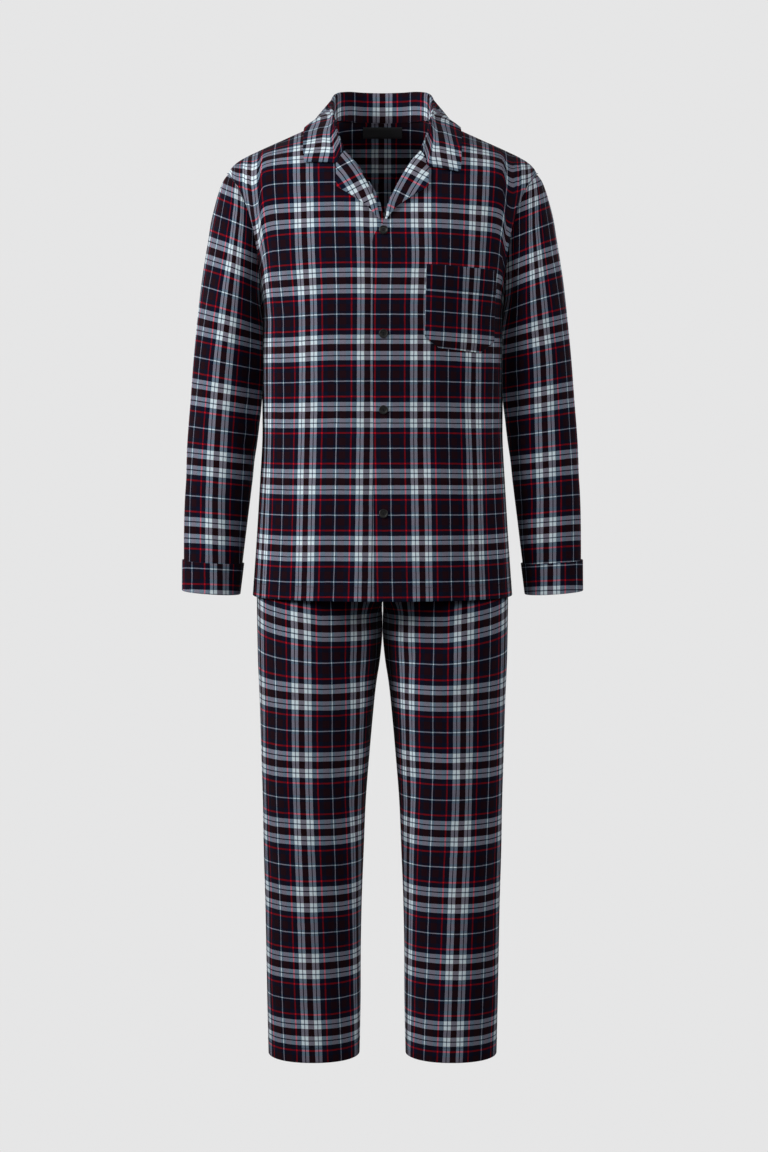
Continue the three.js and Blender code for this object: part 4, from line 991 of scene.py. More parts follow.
def on_jacket(side, x, z):
    """The point of the jacket at a height, wherever it lies on the form."""
    if z <= UNDERARM:
        return point(x, FACING[side] * hanging(side, x, z), z)
    shares = np.linspace(0, 1, JACKET_FINE)
    column = yoke(side, x, shares)
    return yoke(side, x, np.interp(z, column[:, 2], shares))


def way_out(side, x, z):
    across = on_jacket(side, x + NEARBY, z) - on_jacket(side, x - NEARBY, z)
    up = on_jacket(side, x, z + NEARBY) - on_jacket(side, x, z - NEARBY)
    return unit(np.cross(across, up)) * -FACING[side]


def leaned(side, x, lean, lift):
    """A point that stands off the yoke where the cloth leans by an angle over the shoulder."""
    share = mix(ROUND_FROM, 1, lean / 90)
    across = yoke(side, x + 1, share) - yoke(side, x - 1, share)
    up = yoke(side, x, share) - yoke(side, x, share - 0.01)
    return yoke(side, x, share) + unit(np.cross(across, up)) * -FACING[side] * lift


def clear_of(p, distance):
    """Moves a point out until it is clear of the jacket beneath it."""
    side = "back" if p[1] > top_depth("front", p[0]) else "front"
    z = min(p[2], float(shoulder_z(abs(p[0]))))
    out = way_out(side, p[0], z)
    height = (p - on_jacket(side, p[0], z)) @ out
    return p + out * max(0.0, distance - height)


def collar_profile(side, place, stand, edge_x, lean, bow, notch):
    """The visible side of the collar at one station: up the stand, over the fold, down the fall."""
    turn = math.radians(place)
    if side == "front":
        foot = yoke("front", seam_at(upper_edge, "front", place), place)
    else:
        foot = point(NECK_HALF * math.cos(turn), NECK_Y + (NECK_BACK - NECK_Y) * math.sin(turn), 0)
    away = unit(np.array([foot[0], foot[1] - NECK_Y, 0.0]))
    up = np.array([0.0, 0.0, 1.0])
    shoulder = foot + up * max(LEAST_STAND, stand - FOLD_RADIUS)
    centre = shoulder + away * FOLD_RADIUS
    turns = np.radians(FOLD_TURNS)[:, None]
    fold = centre + FOLD_RADIUS * (up * np.sin(turns) - away * np.cos(turns))
    edge = leaned(side, edge_x, lean, COLLAR_LIFT)
    if notch:
        corner = on_jacket("front", *notch) + way_out("front", *notch) * (COLLAR_LIFT + 1)
    else:
        corner = mix(fold[-1], edge, NOTCH_AT) + (away + up) * bow
    fall = [mix(fold[-1], corner, share) for share in (0.5, 1)]
    fall += [mix(corner, edge, share) for share in (1 / 3, 2 / 3, 1)]
    fall = [clear_of(p, COLLAR_LIFT) for p in [fold[-1], *fall]]
    return np.array([foot, mix(foot, shoulder, 0.5), shoulder, *fold[:-1], *fall])


right_collar = np.array([collar_profile(*row) for row in COLLAR])
left_collar = np.array([collar_profile(*row) for row in LONGER_LEFT_END + COLLAR[2:]])
print("collar stands", COLLAR[-1][2], "mm high at the back")

# %% [markdown]
# The chart of the collar is drawn to the photo and not only to the tape. A pair of stripes swings
# across the strip on its way to each end, and each half of the chart has a reach of its own, so
# that the stripes meet the notch where they do in the photo. Inside the neck, they run straight
# along the stand. The swing makes the chart deeper and a little larger than the strip itself.

# %% The collar
STATION_STEPS, PROFILE_STEPS = 128, 56
COLLAR_REACH = {"left": 294, "right": 305.5}  # from the centre back to an end, on the chart
PAIR_BELOW_FOLD = [  # share of the way to an end, where a pair runs on the left and on the right
    (0, 56.5, 56.5), (0.25, 53, 53), (0.45, 30, 32), (0.6, 13, 17), (0.69, 15.7, 21),
    (0.78, 27.6, 33), (0.86, 40, 42.5), (0.92, 48.3, 48.8), (1, 59.3, 59.6),
]
STAND_STRAIGHT, FALL_FREE = -14, 4  # below the fold, where the stand's straight run gives way
STAND_FROM, STAND_TO = 0.38, 0.55  # shares of the way to an end between which that run stops
COLLAR_CREASES = [
    (150, -8, 14, 26, 20, 0.9), (-158, -4, 13, 24, -24, 0.9), (60, 10, 18, 16, 6, 0.6),
]

stations = np.concatenate([left_collar, right_collar[-2::-1] * (-1, 1, 1)])
station_curve = smooth_curve(np.arange(len(stations), dtype=float), stations)
profiles = station_curve(np.linspace(0, len(stations) - 1, STATION_STEPS + 1))
collar_rows, below_fold = [], []
for profile in profiles:
    run = run_along(profile)
    steps = np.linspace(0, run[-1], PROFILE_STEPS + 1)
    collar_rows.append(smooth_curve(run, profile[:, None])(steps)[:, 0])
    below_fold.append(steps - mix(run[3], run[4], 0.8))
collar_points, below_fold = np.array(collar_rows), np.array(below_fold)
along = np.cumsum(np.linalg.norm(np.diff(collar_points, axis=0), axis=-1), axis=0)
along = np.insert(along, 0, 0, axis=0)
middle = STATION_STEPS // 2
half_run = np.where(along <= along[middle], along[middle], along[-1] - along[middle])
near = (along[middle] - along) / half_run
reach = np.where(near > 0, COLLAR_REACH["left"], COLLAR_REACH["right"])
pulled = np.sign(near) * (reach - half_run) * ease(0.3, 1, np.abs(near))
pair_left, pair_right = (through(PAIR_BELOW_FOLD, k)(np.abs(near)) for k in (1, 2))
past_stand = ease(STAND_FROM, STAND_TO, np.abs(near))
turned_over = np.maximum(ease(STAND_STRAIGHT, FALL_FREE, below_fold), past_stand)
drift = mix(PAIR_BELOW_FOLD[0][1], np.where(near > 0, pair_left, pair_right), turned_over)
collar_u = along[middle] - along + pulled
collar_cloth = np.stack([collar_u, drift - below_fold], axis=-1)
collar_out = np.cross(np.gradient(collar_points, axis=1), np.gradient(collar_points, axis=0))
collar_out = unit(collar_out) * np.sign(collar_out[middle, PROFILE_STEPS // 2, 2])
collar = creased(Sheet(collar_points, collar_cloth, collar_out), COLLAR_CREASES)
dress(lay("collar_cloth", collar, wall=COLLAR_WALL, soften=0.5), check, "collar")

# %% [markdown]
# ## The lapels
# A lapel is the top of the front's own facing, which rolls back over the front. It starts inside
# the neckline, rolls over a soft edge, and lies on the front up to its outer edge. The facing is
# cut along the roll line, so its stripes run beside the roll and not down the front.

# %% The form of a lapel
LAPEL_ROLL = [  # share of the way from the tip to the notch, x and z of the roll line
    (0, 3, -166), (0.25, 11, -136), (0.5, 27, -103), (0.75, 43, -78), (1, 56, -62),
]
LAPEL_EDGE = [  # the same for the outer edge, which has a corner
    (0, 7, -163), (0.25, 22, -146), (0.5, 45, -130), (0.76, 68.5, -116), (1, 69, -82),
]
LAPEL_LIFT = [(0, 2.3), (0.25, 3.6), (0.5, 3), (0.75, 2.6), (1, 2.3)]
LAPEL_ROWS, LAPEL_COLUMNS, ROLL_COLUMNS = 52, 22, 12
LAPEL_WALL = 1.6
LAPEL_BASE = 2.0
LAPEL_INSET = 0.4  # from the front's edge to the roll line, at least
LAPEL_LEAST = 4  # least width of a row
TIP_LIFT, TIP_SHARE = 0.35, 0.3  # share of its lift at the tip, and how far up the tip goes
PAIR_FROM_ROLL = 16  # the pair of stripes that runs beside the roll line
lapel_roll_x, lapel_roll_z = through(LAPEL_ROLL, 1), through(LAPEL_ROLL, 2)
lapel_lift = through(LAPEL_LIFT, 1)(np.linspace(0, 1, LAPEL_COLUMNS + 1))


def lapel_row(panel, edge, share):
    """Where one row of a lapel lies on the front, the way out there, and its heights above it."""
    corners = np.array(LAPEL_EDGE)
    roll_z = float(lapel_roll_z(share))
    start = np.array([max(float(lapel_roll_x(share)), float(edge(roll_z)) + LAPEL_INSET), roll_z])
    edge_x, edge_z = (np.interp(share, corners[:, 0], corners[:, k]) for k in (1, 2))
    end = np.array([max(edge_x, start[0] + LAPEL_LEAST), edge_z])
    heights = LAPEL_BASE + lapel_lift * mix(TIP_LIFT, 1, ease(0, TIP_SHARE, share))
    radius = (heights[0] + 1) / 2
    start = start + unit(end - start) * min(radius, 0.4 * np.linalg.norm(end - start))
    line = start + (end - start) * np.linspace(0, 1, LAPEL_COLUMNS + 1)[:, None]
    found = np.array([panel.place_of(x, z) for x, z in line])
    return *panel.at(found[:, 0], found[:, 1]), heights, radius


def lapel_sheet(panel, edge, pair_at):
    shares = np.linspace(0, 1, LAPEL_ROWS + 1)
    rows = [lapel_row(panel, edge, share) for share in shares]
    starts = np.array([row[0][0] for row in rows])
    ahead = unit(np.gradient(starts, axis=0))
    top = unit(starts[-1] - starts[0])
    turns = np.linspace(-np.pi / 2, np.pi / 2, ROLL_COLUMNS, endpoint=False)[:, None]
    points, ways, cloth = [], [], []
    for (base, out, heights, radius), forward in zip(rows, ahead):
        open_way = unit(np.cross(forward, out[0]))
        open_way = open_way * np.sign(open_way @ (base[0] - base[-1]))
        centre = base[0] + out[0] * (heights[0] - radius)
        around = out[0] * np.sin(turns) + open_way * np.cos(turns)
        points.append(np.concatenate([centre + radius * around, base + out * heights[:, None]]))
        ways.append(np.concatenate([around, out]))
        aside = unit(np.cross(top, out.mean(axis=0)))
        aside = aside * np.sign(aside @ (base[-1] - base[0]))
        across = np.r_[radius * turns[:, 0], radius * np.pi / 2 + (base - base[0]) @ aside]
        up = (base - starts[0]) @ top
        cloth.append(np.stack([across, np.r_[np.full(ROLL_COLUMNS, up[0]), up]], axis=-1))
    cloth = np.array(cloth)
    pair_up = float(np.interp(pair_at, shares, cloth[:, 0, 1]))
    return Sheet(np.array(points), cloth, np.array(ways)), (PAIR_FROM_ROLL, pair_up)


# %% The lapels
LAPEL_PAIR = {"left": 0.77, "right": 0.36}  # share of the roll line where a pair crosses it
LAPEL_GIVE = (1, 0.93)

for side, panel, edge in (("left", upper, upper_edge), ("right", lower, lower_edge)):
    lapel, match = lapel_sheet(panel, edge, LAPEL_PAIR[side])
    if side == "right":
        lapel, match = lapel.mirrored(), (-match[0], match[1])
    piece = lay(f"lapel_{side}_cloth", lapel, match, LAPEL_GIVE, LAPEL_WALL, soften=0.45)
    dress(piece, check, f"lapel_{side}")

# %% [markdown]
# ## The chest pocket
# The pocket is a patch that is sewn to the left front along three sides. Across its top runs a
# band that was cut from another stretch of the check, and its lower corners are cut off. It leans
# a little, as it does when the chest fills it out, and gapes slightly at the top.

# %% The chest pocket
POCKET_LEFT, POCKET_RIGHT, POCKET_TOP, POCKET_DROP, POCKET_TALL = 65, 171, -231, 7, 124
POCKET_BAND = 37  # depth of the hem across its top
POCKET_LEAN = 3  # how far its sides drift towards the buttons on the way down
POCKET_CORNER, POCKET_CUT = 0.13, 0.4
POCKET_STEPS = 44
POCKET_LIFT, POCKET_SWELL, POCKET_GAPE = 1.2, 1.9, 1.2
SWELL_SIDE, SWELL_FLOOR, GAPE_DOWN = 1 / 5, 1 / 6, 1 / 4  # shares in which they come and go
POCKET_MATCH, POCKET_GIVE, POCKET_WALL = (15.3, -116.7), (1.06, 1.05), 1.0
BAND_MATCH, BAND_LIFT, BAND_WALL = (15.3, -64), 0.6, 0.6


def pocket_row(panel, down):
    """A row of the pocket, from its side to its inner edge, at a share of the way down."""
    middle, half = (POCKET_LEFT + POCKET_RIGHT) / 2, (POCKET_RIGHT - POCKET_LEFT) / 2
    corner = np.clip((down - (1 - POCKET_CORNER)) / POCKET_CORNER, 0, 1)
    across = np.linspace(1, -1, POCKET_STEPS + 1)
    x = middle + across * half * (1 - POCKET_CUT * corner) - POCKET_LEAN * down
    z = POCKET_TOP - down * POCKET_TALL - POCKET_DROP * (across + 1) / 2
    edge = np.minimum(np.minimum(1, (1 - np.abs(across)) / SWELL_SIDE), (1 - down) / SWELL_FLOOR)
    gape = POCKET_GAPE * max(0, 1 - down / GAPE_DOWN) * (1 - across**2)
    found = np.array([panel.place_of(*place) for place in zip(x, z)])
    lift = POCKET_LIFT + POCKET_SWELL * edge * (2 - edge) + gape
    return panel.at(found[:, 0], found[:, 1], lift)


pocket_downs = np.linspace(1, 0, POCKET_STEPS + 1)
pocket_rows = [pocket_row(upper, down) for down in pocket_downs]
pocket_points, pocket_out = (np.array([row[k] for row in pocket_rows]) for k in (0, 1))
pocket_run = np.array([run_along(row) for row in pocket_points])
pocket_u = pocket_run[:, [POCKET_STEPS // 2]] - pocket_run
pocket_v = np.broadcast_to(-pocket_downs[:, None] * POCKET_TALL, pocket_u.shape)
pocket = Sheet(pocket_points, np.stack([pocket_u, pocket_v], axis=-1), pocket_out)
band_row = round(POCKET_STEPS * (1 - POCKET_BAND / POCKET_TALL))
above = slice(band_row, None)
raised = pocket.points[above] + pocket.out[above] * BAND_LIFT
pocket_band = Sheet(raised, pocket.cloth[above], pocket.out[above])
for name, sheet, match, wall in (("chest_pocket_cloth", pocket, POCKET_MATCH, POCKET_WALL),
                                 ("pocket_band_cloth", pocket_band, BAND_MATCH, BAND_WALL)):
    dress(lay(name, sheet, match, POCKET_GIVE, wall, soften=0.3), check, "chest_pocket")

# %% [markdown]
# ## The neck label
# A woven satin label is sewn inside the back of the neck. It is left bare: no name is woven in.

# %% The neck label
LABEL_HALF, LABEL_TOP, LABEL_BOTTOM = 31, -6, -23
LABEL_INSIDE = 1.9  # how deep its face lies behind the outside of the back
LABEL_ROWS, LABEL_COLUMNS, LABEL_WALL = 6, 24, 0.5


def satin_label():
    look = new_look("black satin ribbon")
    chart = node(look, "UVMap", uv_map="cloth").outputs[0]
    split = node(look, "SeparateXYZ", {0: chart})
    ridge = calc(look, "SINE", calc(look, "MULTIPLY", split.outputs[1], 2 * math.pi / (0.45 * MM)))
    grain = node(look, "TexNoise", {"Vector": chart, "Scale": 900}).outputs[0]
    height = calc(look, "ADD", calc(look, "MULTIPLY", ridge, 0.4), grain)
    bump = node(look, "Bump", {"Strength": 0.3, "Distance": 0.12 * MM, "Height": height})
    black = two_tones(look, grain, (0.006, 0.006, 0.008), (0.02, 0.02, 0.024))
    shader(look, Base_Color=black, Roughness=0.5, Normal=bump.outputs[0], Sheen_Weight=0.1)
    return look


label_x = np.linspace(LABEL_HALF, -LABEL_HALF, LABEL_COLUMNS + 1)
label_z = np.linspace(LABEL_BOTTOM, LABEL_TOP, LABEL_ROWS + 1)
label_points = np.array([
    [on_jacket("back", x, z) - way_out("back", x, z) * LABEL_INSIDE for x in label_x]
    for z in label_z
])
label_cloth = np.stack(np.meshgrid(label_x, label_z), axis=-1)
label = Sheet(label_points, label_cloth, -outward(label_points))
piece = lay("neck_label_cloth", label, wall=LABEL_WALL, soften=0.15)
dress(piece, satin_label(), "neck_label")

# %% [markdown]
# ## The buttons
# Four black resin buttons fasten the jacket. A button is turned on a lathe, so its profile is spun
# round: a flat back, a rounded rim and a shallow dish with four holes, which thread crosses. The
# dish is fine enough for its holes to be pressed in.

# %% The buttons
BUTTON_X, BUTTON_LIFT = 1.5, 0.2
BUTTON_HEIGHTS = [-181, -334, -447, -602]
BUTTON_RADIUS, BUTTON_THICK = 6.8, 2.4
BUTTON_DISH = 0.72  # height of its dish, as a share of its thickness
HOLE_OUT, HOLE_RADIUS, HOLE_DEPTH = 1.55, 0.75, 1.1
BUTTON_SPOKES, DISH_STEPS = 72, 15
DISH_SHARE = 0.6  # how much of the radius the dish takes
BUTTON_RIM = [  # shares of the radius and of the thickness, from the dish over the rim to the back
    (0.68, 0.8), (0.76, 0.95), (0.86, 1), (0.95, 0.88), (1, 0.6),
    (0.99, 0.35), (0.9, 0.08), (0.8, 0), (0, 0),
]
HOLE_FLOOR, HOLE_BRIM = 0.75, 1.15  # shares of a hole's radius between which its wall slopes


def button_resin():
    look = new_look("black resin")
    place = node(look, "TexCoord").outputs["Object"]
    cloud = node(look, "TexNoise", {"Vector": place, "Scale": 320, "Detail": 4}).outputs[0]
    black = two_tones(look, cloud, (0.006, 0.006, 0.006), (0.016, 0.016, 0.015))
    rough = calc(look, "MULTIPLY_ADD", cloud, 0.15, 0.32)
    bump = node(look, "Bump", {"Strength": 0.1, "Distance": 0.1 * MM, "Height": cloud})
    shader(look, Base_Color=black, Roughness=rough, Normal=bump.outputs[0], Specular_IOR_Level=0.35)
    return look


def turned_button():
    """A button on the table, face up, with its middle at the origin."""
    r, t = BUTTON_RADIUS, BUTTON_THICK
    dish = [(float(x), t * BUTTON_DISH) for x in np.linspace(0, r * DISH_SHARE, DISH_STEPS)]
    rim = [(r * out, t * up) for out, up in BUTTON_RIM]
    work = bmesh.new()
    profile = [work.verts.new((x * MM, 0, z * MM)) for x, z in dish + rim]
    edges = [work.edges.new(pair) for pair in zip(profile, profile[1:])]
    bmesh.ops.spin(work, geom=profile + edges, cent=(0, 0, 0), axis=(0, 0, 1), angle=2 * math.pi,
                   steps=BUTTON_SPOKES, use_merge=True)
    bmesh.ops.remove_doubles(work, verts=work.verts, dist=0.005 * MM)
    bmesh.ops.recalc_face_normals(work, faces=work.faces)
    for v in work.verts:
        if v.co.z > DISH_SHARE * t * MM:
            for turn in (45, 135, 225, 315):
                hole = Matrix.Rotation(math.radians(turn), 3, "Z") @ Vector((HOLE_OUT, 0, 0))
                off = (v.co.xy / MM - hole.xy).length / HOLE_RADIUS
                v.co.z -= HOLE_DEPTH * MM * float(1 - ease(HOLE_FLOOR, HOLE_BRIM, off))
    for face in work.faces:
        face.smooth = True
    return work


resin = button_resin()
button_places = []
for number, z in enumerate(BUTTON_HEIGHTS, start=1):
    base, out = upper.at(*upper.place_of(BUTTON_X, z), BUTTON_LIFT)
    turn = Vector(out).to_track_quat("Z", "Y").to_matrix().to_4x4()
    button_places.append(Matrix.Translation(Vector(base) * MM) @ turn)
    work = turned_button()
    work.transform(button_places[-1])
    piece = new_piece(f"button_{number}_resin", work)
    dress(piece, resin, f"button_{number}")
print("buttons are", 2 * BUTTON_RADIUS, "mm across")

# %% [markdown]
# ## The trousers
# Each leg has a front and a back panel, which meet at the outside seam, the inside seam and the
# centre seam. The same stations as before give the leg's edges and depths. Above the fork, the
# panels of the two legs close against each other, which is how trousers are joined.

# %% The form of a leg
CROTCH, FORK, TROUSER_HEM, WAIST = -772, -690, -1456, -522
LEG_SQUARE = 2.15
LEG = [  # height, outer edge, inner edge, depth to the front, depth to the back
    (-1456, 179.7, 36, 68, 70), (-1374, 181.3, 34.4, 70, 72), (-1294, 182.6, 34, 73, 76),
    (-1215, 183.9, 32.4, 77, 81), (-1136, 186, 29.3, 81, 86), (-1057, 187.2, 26, 87, 91),
    (-978, 189.3, 19.8, 93, 96), (-899, 191.3, 12.6, 100, 102), (-868, 192.6, 9, 103, 104),
    (-836, 193.9, 4, 105, 106), (-797, 194.6, 0.2, 107, 108), (-772, 194.9, 0.06, 108, 109),
    (-743, 195.1, 0.06, 109, 109), (-690, 194.8, 0.06, 110, 108), (-640, 193, 0.06, 110, 104),
    (-600, 184, 0.06, 108, 99), (-560, 174, 0.06, 105, 94), (-522, 165, 0.06, 102, 90),
    (-482, 160, 0.06, 99, 87),
]
HIP_GAP = 2.35  # from the outside of the jacket to the hips inside it
LEG_ROWS, LEG_COLUMNS = 200, 56
LEG_MIDDLE = 100
LEG_FINE = 300
leg_outer, leg_inner = through(LEG, 1), through(LEG, 2)
leg_depth = {"front": through(LEG, 3), "back": through(LEG, 4)}


def leg_line(side, z):
    """A level row of a leg panel, from the outside seam to the inside or centre seam."""
    outer, inner = float(leg_outer(z)), float(leg_inner(z))
    if z >= JACKET_HEM:
        outer = min(outer, float(torso_half(z)) - HIP_GAP)
    gather = 1.0 if z <= CROTCH else 1 - float(ease(CROTCH, FORK, z)) ** 0.8
    end = mix(math.pi / 2, math.pi, gather)
    reach = (outer - inner) / (1 - bent(np.cos(end), LEG_SQUARE))
    angles = np.linspace(0, end, LEG_FINE)
    x = outer - reach * (1 - bent(np.cos(angles), LEG_SQUARE))
    y = FACING[side] * leg_depth[side](z) * bent(np.sin(angles), LEG_SQUARE)
    return point(x, y, z)


# %% [markdown]
# The cloth of a leg hangs straight, so the way up is the height. A pair of stripes runs down the
# front of each leg, and leans in slightly towards the hem.

# %% The legs
LEG_GRAIN = [  # height, distance of the pair
    (-1456, 108.5), (-1387, 110.8), (-1208, 116.3), (-1030, 122.5), (-845, 123.3), (-522, 127),
]
LEG_RISE = [(-985, 0), (-880, 1.5), (-770, 7), (-522, 9)]  # how far the sides pull the stripes up
RISE_FROM, RISE_OVER = 30, 50  # how far inside the pair that starts, and over what width it grows
LEG_CREASES = {  # across from the pair, height, half width, half length, slant, depth
    "front_left": [
        (-60, -812, 22, 60, -50, 3.2), (-20, -860, 24, 52, -40, -1.8), (24, -1040, 24, 96, 12, 2.4),
        (-44, -1290, 22, 100, -8, 2.0), (62, -1180, 15, 84, -5, 1.7), (-70, -1010, 16, 60, -24, 2.0),
        (10, -1380, 14, 46, 18, 1.4), (48, -900, 16, 60, 10, 1.4), (-26, -1130, 13, 44, -34, 1.5),
        (70, -1350, 14, 62, 6, -1.3), (-66, -1400, 12, 36, 14, 1.3),
    ],
    "front_right": [
        (-58, -824, 21, 62, -52, 3.0), (-26, -872, 22, 50, -36, -1.7), (18, -1064, 25, 88, 14, 2.3),
        (-40, -1262, 20, 104, -10, 2.1), (58, -1216, 16, 78, -8, 1.8), (-72, -1034, 15, 58, -22, 1.9),
        (16, -1396, 15, 40, 14, 1.3), (52, -930, 15, 66, 8, 1.5), (-30, -1154, 13, 40, -38, 1.6),
        (66, -1322, 14, 66, 4, -1.4), (-62, -1376, 12, 40, 16, 1.2),
    ],
    "back_left": [
        (-50, -830, 20, 60, -46, 3.4), (-10, -890, 22, 54, -34, -2.0), (16, -1070, 20, 56, 52, 2.6),
        (-30, -1110, 18, 50, 62, 2.4), (40, -1150, 16, 46, 58, -1.6), (-46, -1300, 20, 90, 8, 2.0),
        (54, -1330, 16, 80, -6, 1.8), (60, -930, 18, 70, 12, 1.8), (-64, -1010, 14, 54, -20, 1.8),
    ],
    "back_right": [
        (-54, -842, 21, 58, -48, 3.2), (-14, -902, 20, 56, -30, -1.9), (20, -1054, 19, 54, 56, 2.5),
        (-34, -1096, 18, 52, 58, 2.5), (36, -1136, 15, 48, 54, -1.7), (-42, -1276, 20, 94, 10, 2.0),
        (50, -1350, 16, 76, -8, 1.9), (56, -952, 17, 74, 10, 1.7), (-60, -1032, 14, 50, -24, 1.9),
    ],
}
LEG_MATCH, LEG_GIVE = {"left": (0, -990.1), "right": (0, -988.2)}, (0.975, 0.9506)
leg_grain = through(LEG_GRAIN, 1)
leg_heights = np.linspace(TROUSER_HEM, WAIST, LEG_ROWS + 1)


def leg_sheet(side):
    points, across = [], []
    for z in leg_heights:
        row = spaced(leg_line(side, z), crowded(LEG_COLUMNS))
        run = run_along(row)
        outer_part = len(row) * 2 // 3
        on_pair = np.interp(-float(leg_grain(z)), -row[:outer_part, 0], run[:outer_part])
        points.append(row)
        across.append(on_pair - run)
    points, across = np.array(points), np.array(across)
    rise = through(LEG_RISE, 1)(leg_heights)[:, None] * np.maximum(0, across + RISE_FROM) / RISE_OVER
    cloth = np.stack([across, leg_heights[:, None] - rise], axis=-1)
    sheet = Sheet(points, cloth, outward(points, (LEG_MIDDLE, 0)))
    below = leg_heights <= CROTCH
    sheet.out[:, 0, 1] = 0
    sheet.out[below, -1, 1] = 0
    sheet.out[~below, -1, 0] = np.minimum(0, sheet.out[~below, -1, 0])
    sheet.out = unit(sheet.out)
    return sheet


legs = {}
for part, creases in LEG_CREASES.items():
    facing, side = part.split("_")
    panel = creased(leg_sheet(facing), creases, ("start", "end"))
    legs[part] = panel if side == "left" else panel.mirrored()
    piece = lay(f"leg_{part}_cloth", hemmed(legs[part]), LEG_MATCH[side], LEG_GIVE)
    dress(piece, check, f"leg_{part}")

# %% [markdown]
# ## The waistband
# The jacket hides the waistband, which is kept plain: a band of the same cloth round elastic,
# gathered into even ripples. It is a tube like the sleeve, with the ripples in its own radius.

# %% The waistband
BAND_HEIGHT, BAND_GATHERS, BAND_RIPPLE, BAND_COLUMNS, BAND_ROWS = 40, 18, 1.3, 288, 12
BAND_FOLD = 1.15  # how much more cloth there is than band
BAND_GAP = 0.3  # from the tops of the legs
WAISTBAND_WALL = 2.6

angles = np.linspace(0, 2 * np.pi, BAND_COLUMNS + 1)
front_or_back = np.where(np.sin(angles) < 0, leg_depth["front"](WAIST), leg_depth["back"](WAIST))
band_rows = []
for share in np.linspace(0, 1, BAND_ROWS + 1):
    tight = 0.4 + 0.6 * ease(0, 0.2, share) + 0.25 * np.sin(share * np.pi * 3) ** 2
    swell = 1 + BAND_RIPPLE * tight * np.cos(BAND_GATHERS * angles) / float(leg_outer(WAIST))
    x = leg_outer(WAIST) * swell * bent(np.cos(angles), LEG_SQUARE)
    y = front_or_back * swell * bent(np.sin(angles), LEG_SQUARE)
    band_rows.append(point(x, y, WAIST + BAND_GAP + share * (BAND_HEIGHT - BAND_GAP)))
band_points = np.array(band_rows)
band_run = np.array([run_along(row) for row in band_points])
band_cloth = np.stack([band_run * BAND_FOLD, band_points[..., 2] - WAIST], axis=-1)
band = Sheet(band_points, band_cloth, outward(band_points, (0, 0), True), True)
dress(lay("waistband_cloth", band, wall=WAISTBAND_WALL, soften=0.6), check, "waistband")

# %% [markdown]
# ## Stitching
# Topstitching holds the hems and the pocket. One stitch is a short rod with six sides that lies
# on the cloth, and a row is many of them at an even pitch. All the rows of one kind are joined
# into one mesh. The thread is dark, so it shows only from close by.

# %% Thread
STITCH_LONG, STITCH_PITCH, THREAD_RADIUS = 2.3, 3.1, 0.24


def cotton_thread():
    look = new_look("dark cotton thread")
    place = node(look, "TexCoord").outputs["Object"]
    ply = node(look, "TexNoise", {"Vector": place, "Scale": 2200, "Detail": 2}).outputs[0]
    blue = two_tones(look, ply, (0.003, 0.0035, 0.006), (0.012, 0.013, 0.019))
    bump = node(look, "Bump", {"Strength": 0.5, "Distance": 0.1 * MM, "Height": ply})
    shader(look, Base_Color=blue, Roughness=0.9, Normal=bump.outputs[0], Specular_IOR_Level=0.1)
    return look


thread = cotton_thread()


def rod(work, start, end, radius):
    """Adds a six-sided rod between two points, in millimetres."""
    way = Vector(end - start)
    turn = way.to_track_quat("Z", "Y").to_matrix().to_4x4()
    middle = Matrix.Translation(Vector((start + end) / 2) * MM)
    bmesh.ops.create_cone(work, cap_ends=True, segments=6, radius1=radius * MM,
                          radius2=radius * MM, depth=way.length * MM, matrix=middle @ turn)


def of_thread(name, work):
    """Makes a piece of thread, with round sides and flat ends."""
    for face in work.faces:
        face.smooth = len(face.verts) == 4
    new_piece(name, work).data.materials.append(thread)


def stitched(name, lines):
    """One mesh of stitches along lines, which are arrays of points."""
    work = bmesh.new()
    count = 0
    for line in lines:
        run = run_along(line)
        for start in np.arange(STITCH_PITCH / 2, run[-1] - STITCH_LONG, STITCH_PITCH):
            first, last = spaced(line, np.array([start, start + STITCH_LONG]) / run[-1])
            rod(work, first, last, THREAD_RADIUS)
            count += 1
    of_thread(name, work)
    print(name, "has", count, "stitches")


# %% [markdown]
# The rows of stitches are found on the sheets themselves, at an even distance from the edge, so
# that they follow every crease.

# %% The stitching
HEM_LINE, LEG_HEM_LINE, POCKET_LINE = 20, 22, 2.2
BURIED = 0.05  # how high the middle of the thread lies over the cloth
LINE_STEPS = 90


def row_above(sheet, distance):
    """A line across a sheet at a distance above its lower edge."""
    up = sheet.away_from("bottom").mean(axis=1)
    row = np.interp(distance, up, np.arange(len(up)))
    columns = np.arange(sheet.points.shape[1], dtype=float)
    return sheet.at(np.full(len(columns), row), columns, BURIED)[0]


def pocket_lines():
    """Down one side of the pocket, along its floor, up the other side, and across its hem."""
    inside = POCKET_LINE / (POCKET_RIGHT - POCKET_LEFT) * POCKET_STEPS
    far = POCKET_STEPS - inside
    run = np.linspace(inside, far, LINE_STEPS)
    first, last = np.full(LINE_STEPS, inside), np.full(LINE_STEPS, far)
    band = np.full(LINE_STEPS, band_row + inside)
    lines = (run, first), (run, last), (first, run), (band, run)
    return [pocket.at(*line, BURIED + BAND_LIFT * (line[0] >= band_row))[0] for line in lines]


stitched("jacket_hem_stitches", [row_above(sheet, HEM_LINE) for sheet in (*fronts.values(), back)])
stitched("trouser_hem_stitches", [row_above(sheet, LEG_HEM_LINE) for sheet in legs.values()])
stitched("pocket_stitches", pocket_lines())

# %% [markdown]
# The thread of each button crosses its dish from hole to hole, in two short bars.

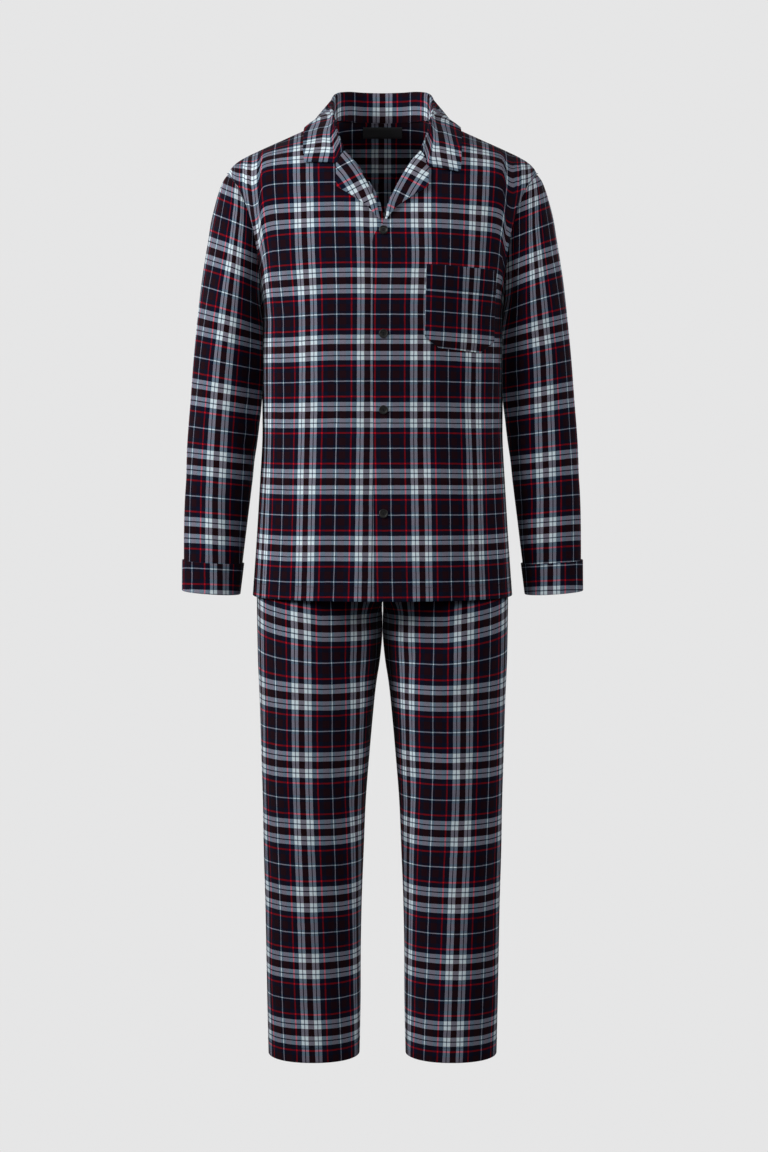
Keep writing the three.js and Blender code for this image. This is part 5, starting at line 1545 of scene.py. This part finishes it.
# %% The buttons' thread
BAR_APART, BAR_LIFT, BAR_RADIUS = 0.22, 0.1, 0.26
bars = bmesh.new()
level = BUTTON_THICK * BUTTON_DISH + BAR_LIFT
corner = HOLE_OUT * math.sin(math.radians(45))
for place in button_places:
    before = set(bars.verts)
    for y in (-corner, corner):
        for offset in (-BAR_APART, BAR_APART):
            start = np.array([-corner, y + offset, level])
            rod(bars, start, start + (2 * corner, 0, 0), BAR_RADIUS)
    bmesh.ops.transform(bars, matrix=place, verts=[v for v in bars.verts if v not in before])
of_thread("button_thread", bars)

# %% [markdown]
# ## Stage and light
# The set was photographed on a pale, evenly lit ground with no shadow, as on a light table. The
# floor lies well below the hems, as bright as the background. Two soft lights stand at the sides,
# the left one stronger, with a weak one in front and one behind. So the insides of the sleeves,
# the neck and the cloth under the jacket's hem stay dark.

# %% Stage and light
GROUND = 0.79  # the ground's brightness, as light
FLOOR_BELOW, FLOOR_RADIUS = 0.36, 3.2
COOL, COOLER = 1.003, 1.01  # a trace of blue in the ground, and in what it lights
FLOOR_GLOW = 0.08  # how much of its brightness reaches the cloth
AMBIENT = 0.06
LIT_PLACE = (0, 0, -0.35)  # where the lights point
LIGHTS = [  # name, place, size and power
    ("left light", (-2.8, -1.5, 0.9), 1.3, 110),
    ("right light", (2.8, -1.5, 0.9), 1.3, 46),
    ("front light", (0, -4.4, 0.9), 2.2, 19),
    ("back light", (0.7, 3.8, 0.1), 2.2, 70),
]

world = bpy.data.worlds.new("pale ground")
bpy.context.scene.world = world
world.use_nodes = True
sky = world.node_tree
sky.nodes["Background"].inputs[0].default_value = (GROUND, GROUND, GROUND * COOL, 1)
dim = sky.nodes.new("ShaderNodeBackground")
dim.inputs[0].default_value = (AMBIENT, AMBIENT, AMBIENT * COOLER, 1)
path = sky.nodes.new("ShaderNodeLightPath")
either = sky.nodes.new("ShaderNodeMixShader")
sky.links.new(path.outputs["Is Camera Ray"], either.inputs[0])
sky.links.new(dim.outputs[0], either.inputs[1])
sky.links.new(sky.nodes["Background"].outputs[0], either.inputs[2])
sky.links.new(either.outputs[0], sky.nodes["World Output"].inputs[0])

for name, place, size, power in LIGHTS:
    lamp = bpy.data.lights.new(name, "AREA")
    lamp.energy, lamp.size = power, size
    stand = bpy.data.objects.new(name, lamp)
    stand.location = place
    stand.rotation_euler = (Vector(LIT_PLACE) - stand.location).to_track_quat("-Z", "Y").to_euler()
    bpy.context.scene.collection.objects.link(stand)

floor_work = bmesh.new()
bmesh.ops.create_circle(floor_work, cap_ends=True, segments=96, radius=FLOOR_RADIUS)
bmesh.ops.translate(floor_work, verts=floor_work.verts, vec=(0, 0, TROUSER_HEM * MM - FLOOR_BELOW))
floor = new_object("floor", floor_work)
glow = new_look("lit pale floor")
seen = node(glow, "LightPath").outputs["Is Camera Ray"]
strength = calc(glow, "MULTIPLY_ADD", seen, 1 - FLOOR_GLOW, FLOOR_GLOW)
shader(glow, Base_Color=(0, 0, 0, 1), Roughness=1.0, Specular_IOR_Level=0.0, Emission_Strength=strength,
       Emission_Color=(GROUND, GROUND, GROUND * COOL, 1))
floor.data.materials.append(glow)
bpy.context.scene.view_settings.view_transform = "Standard"
print("floor lies", FLOOR_BELOW, "m below the hems")
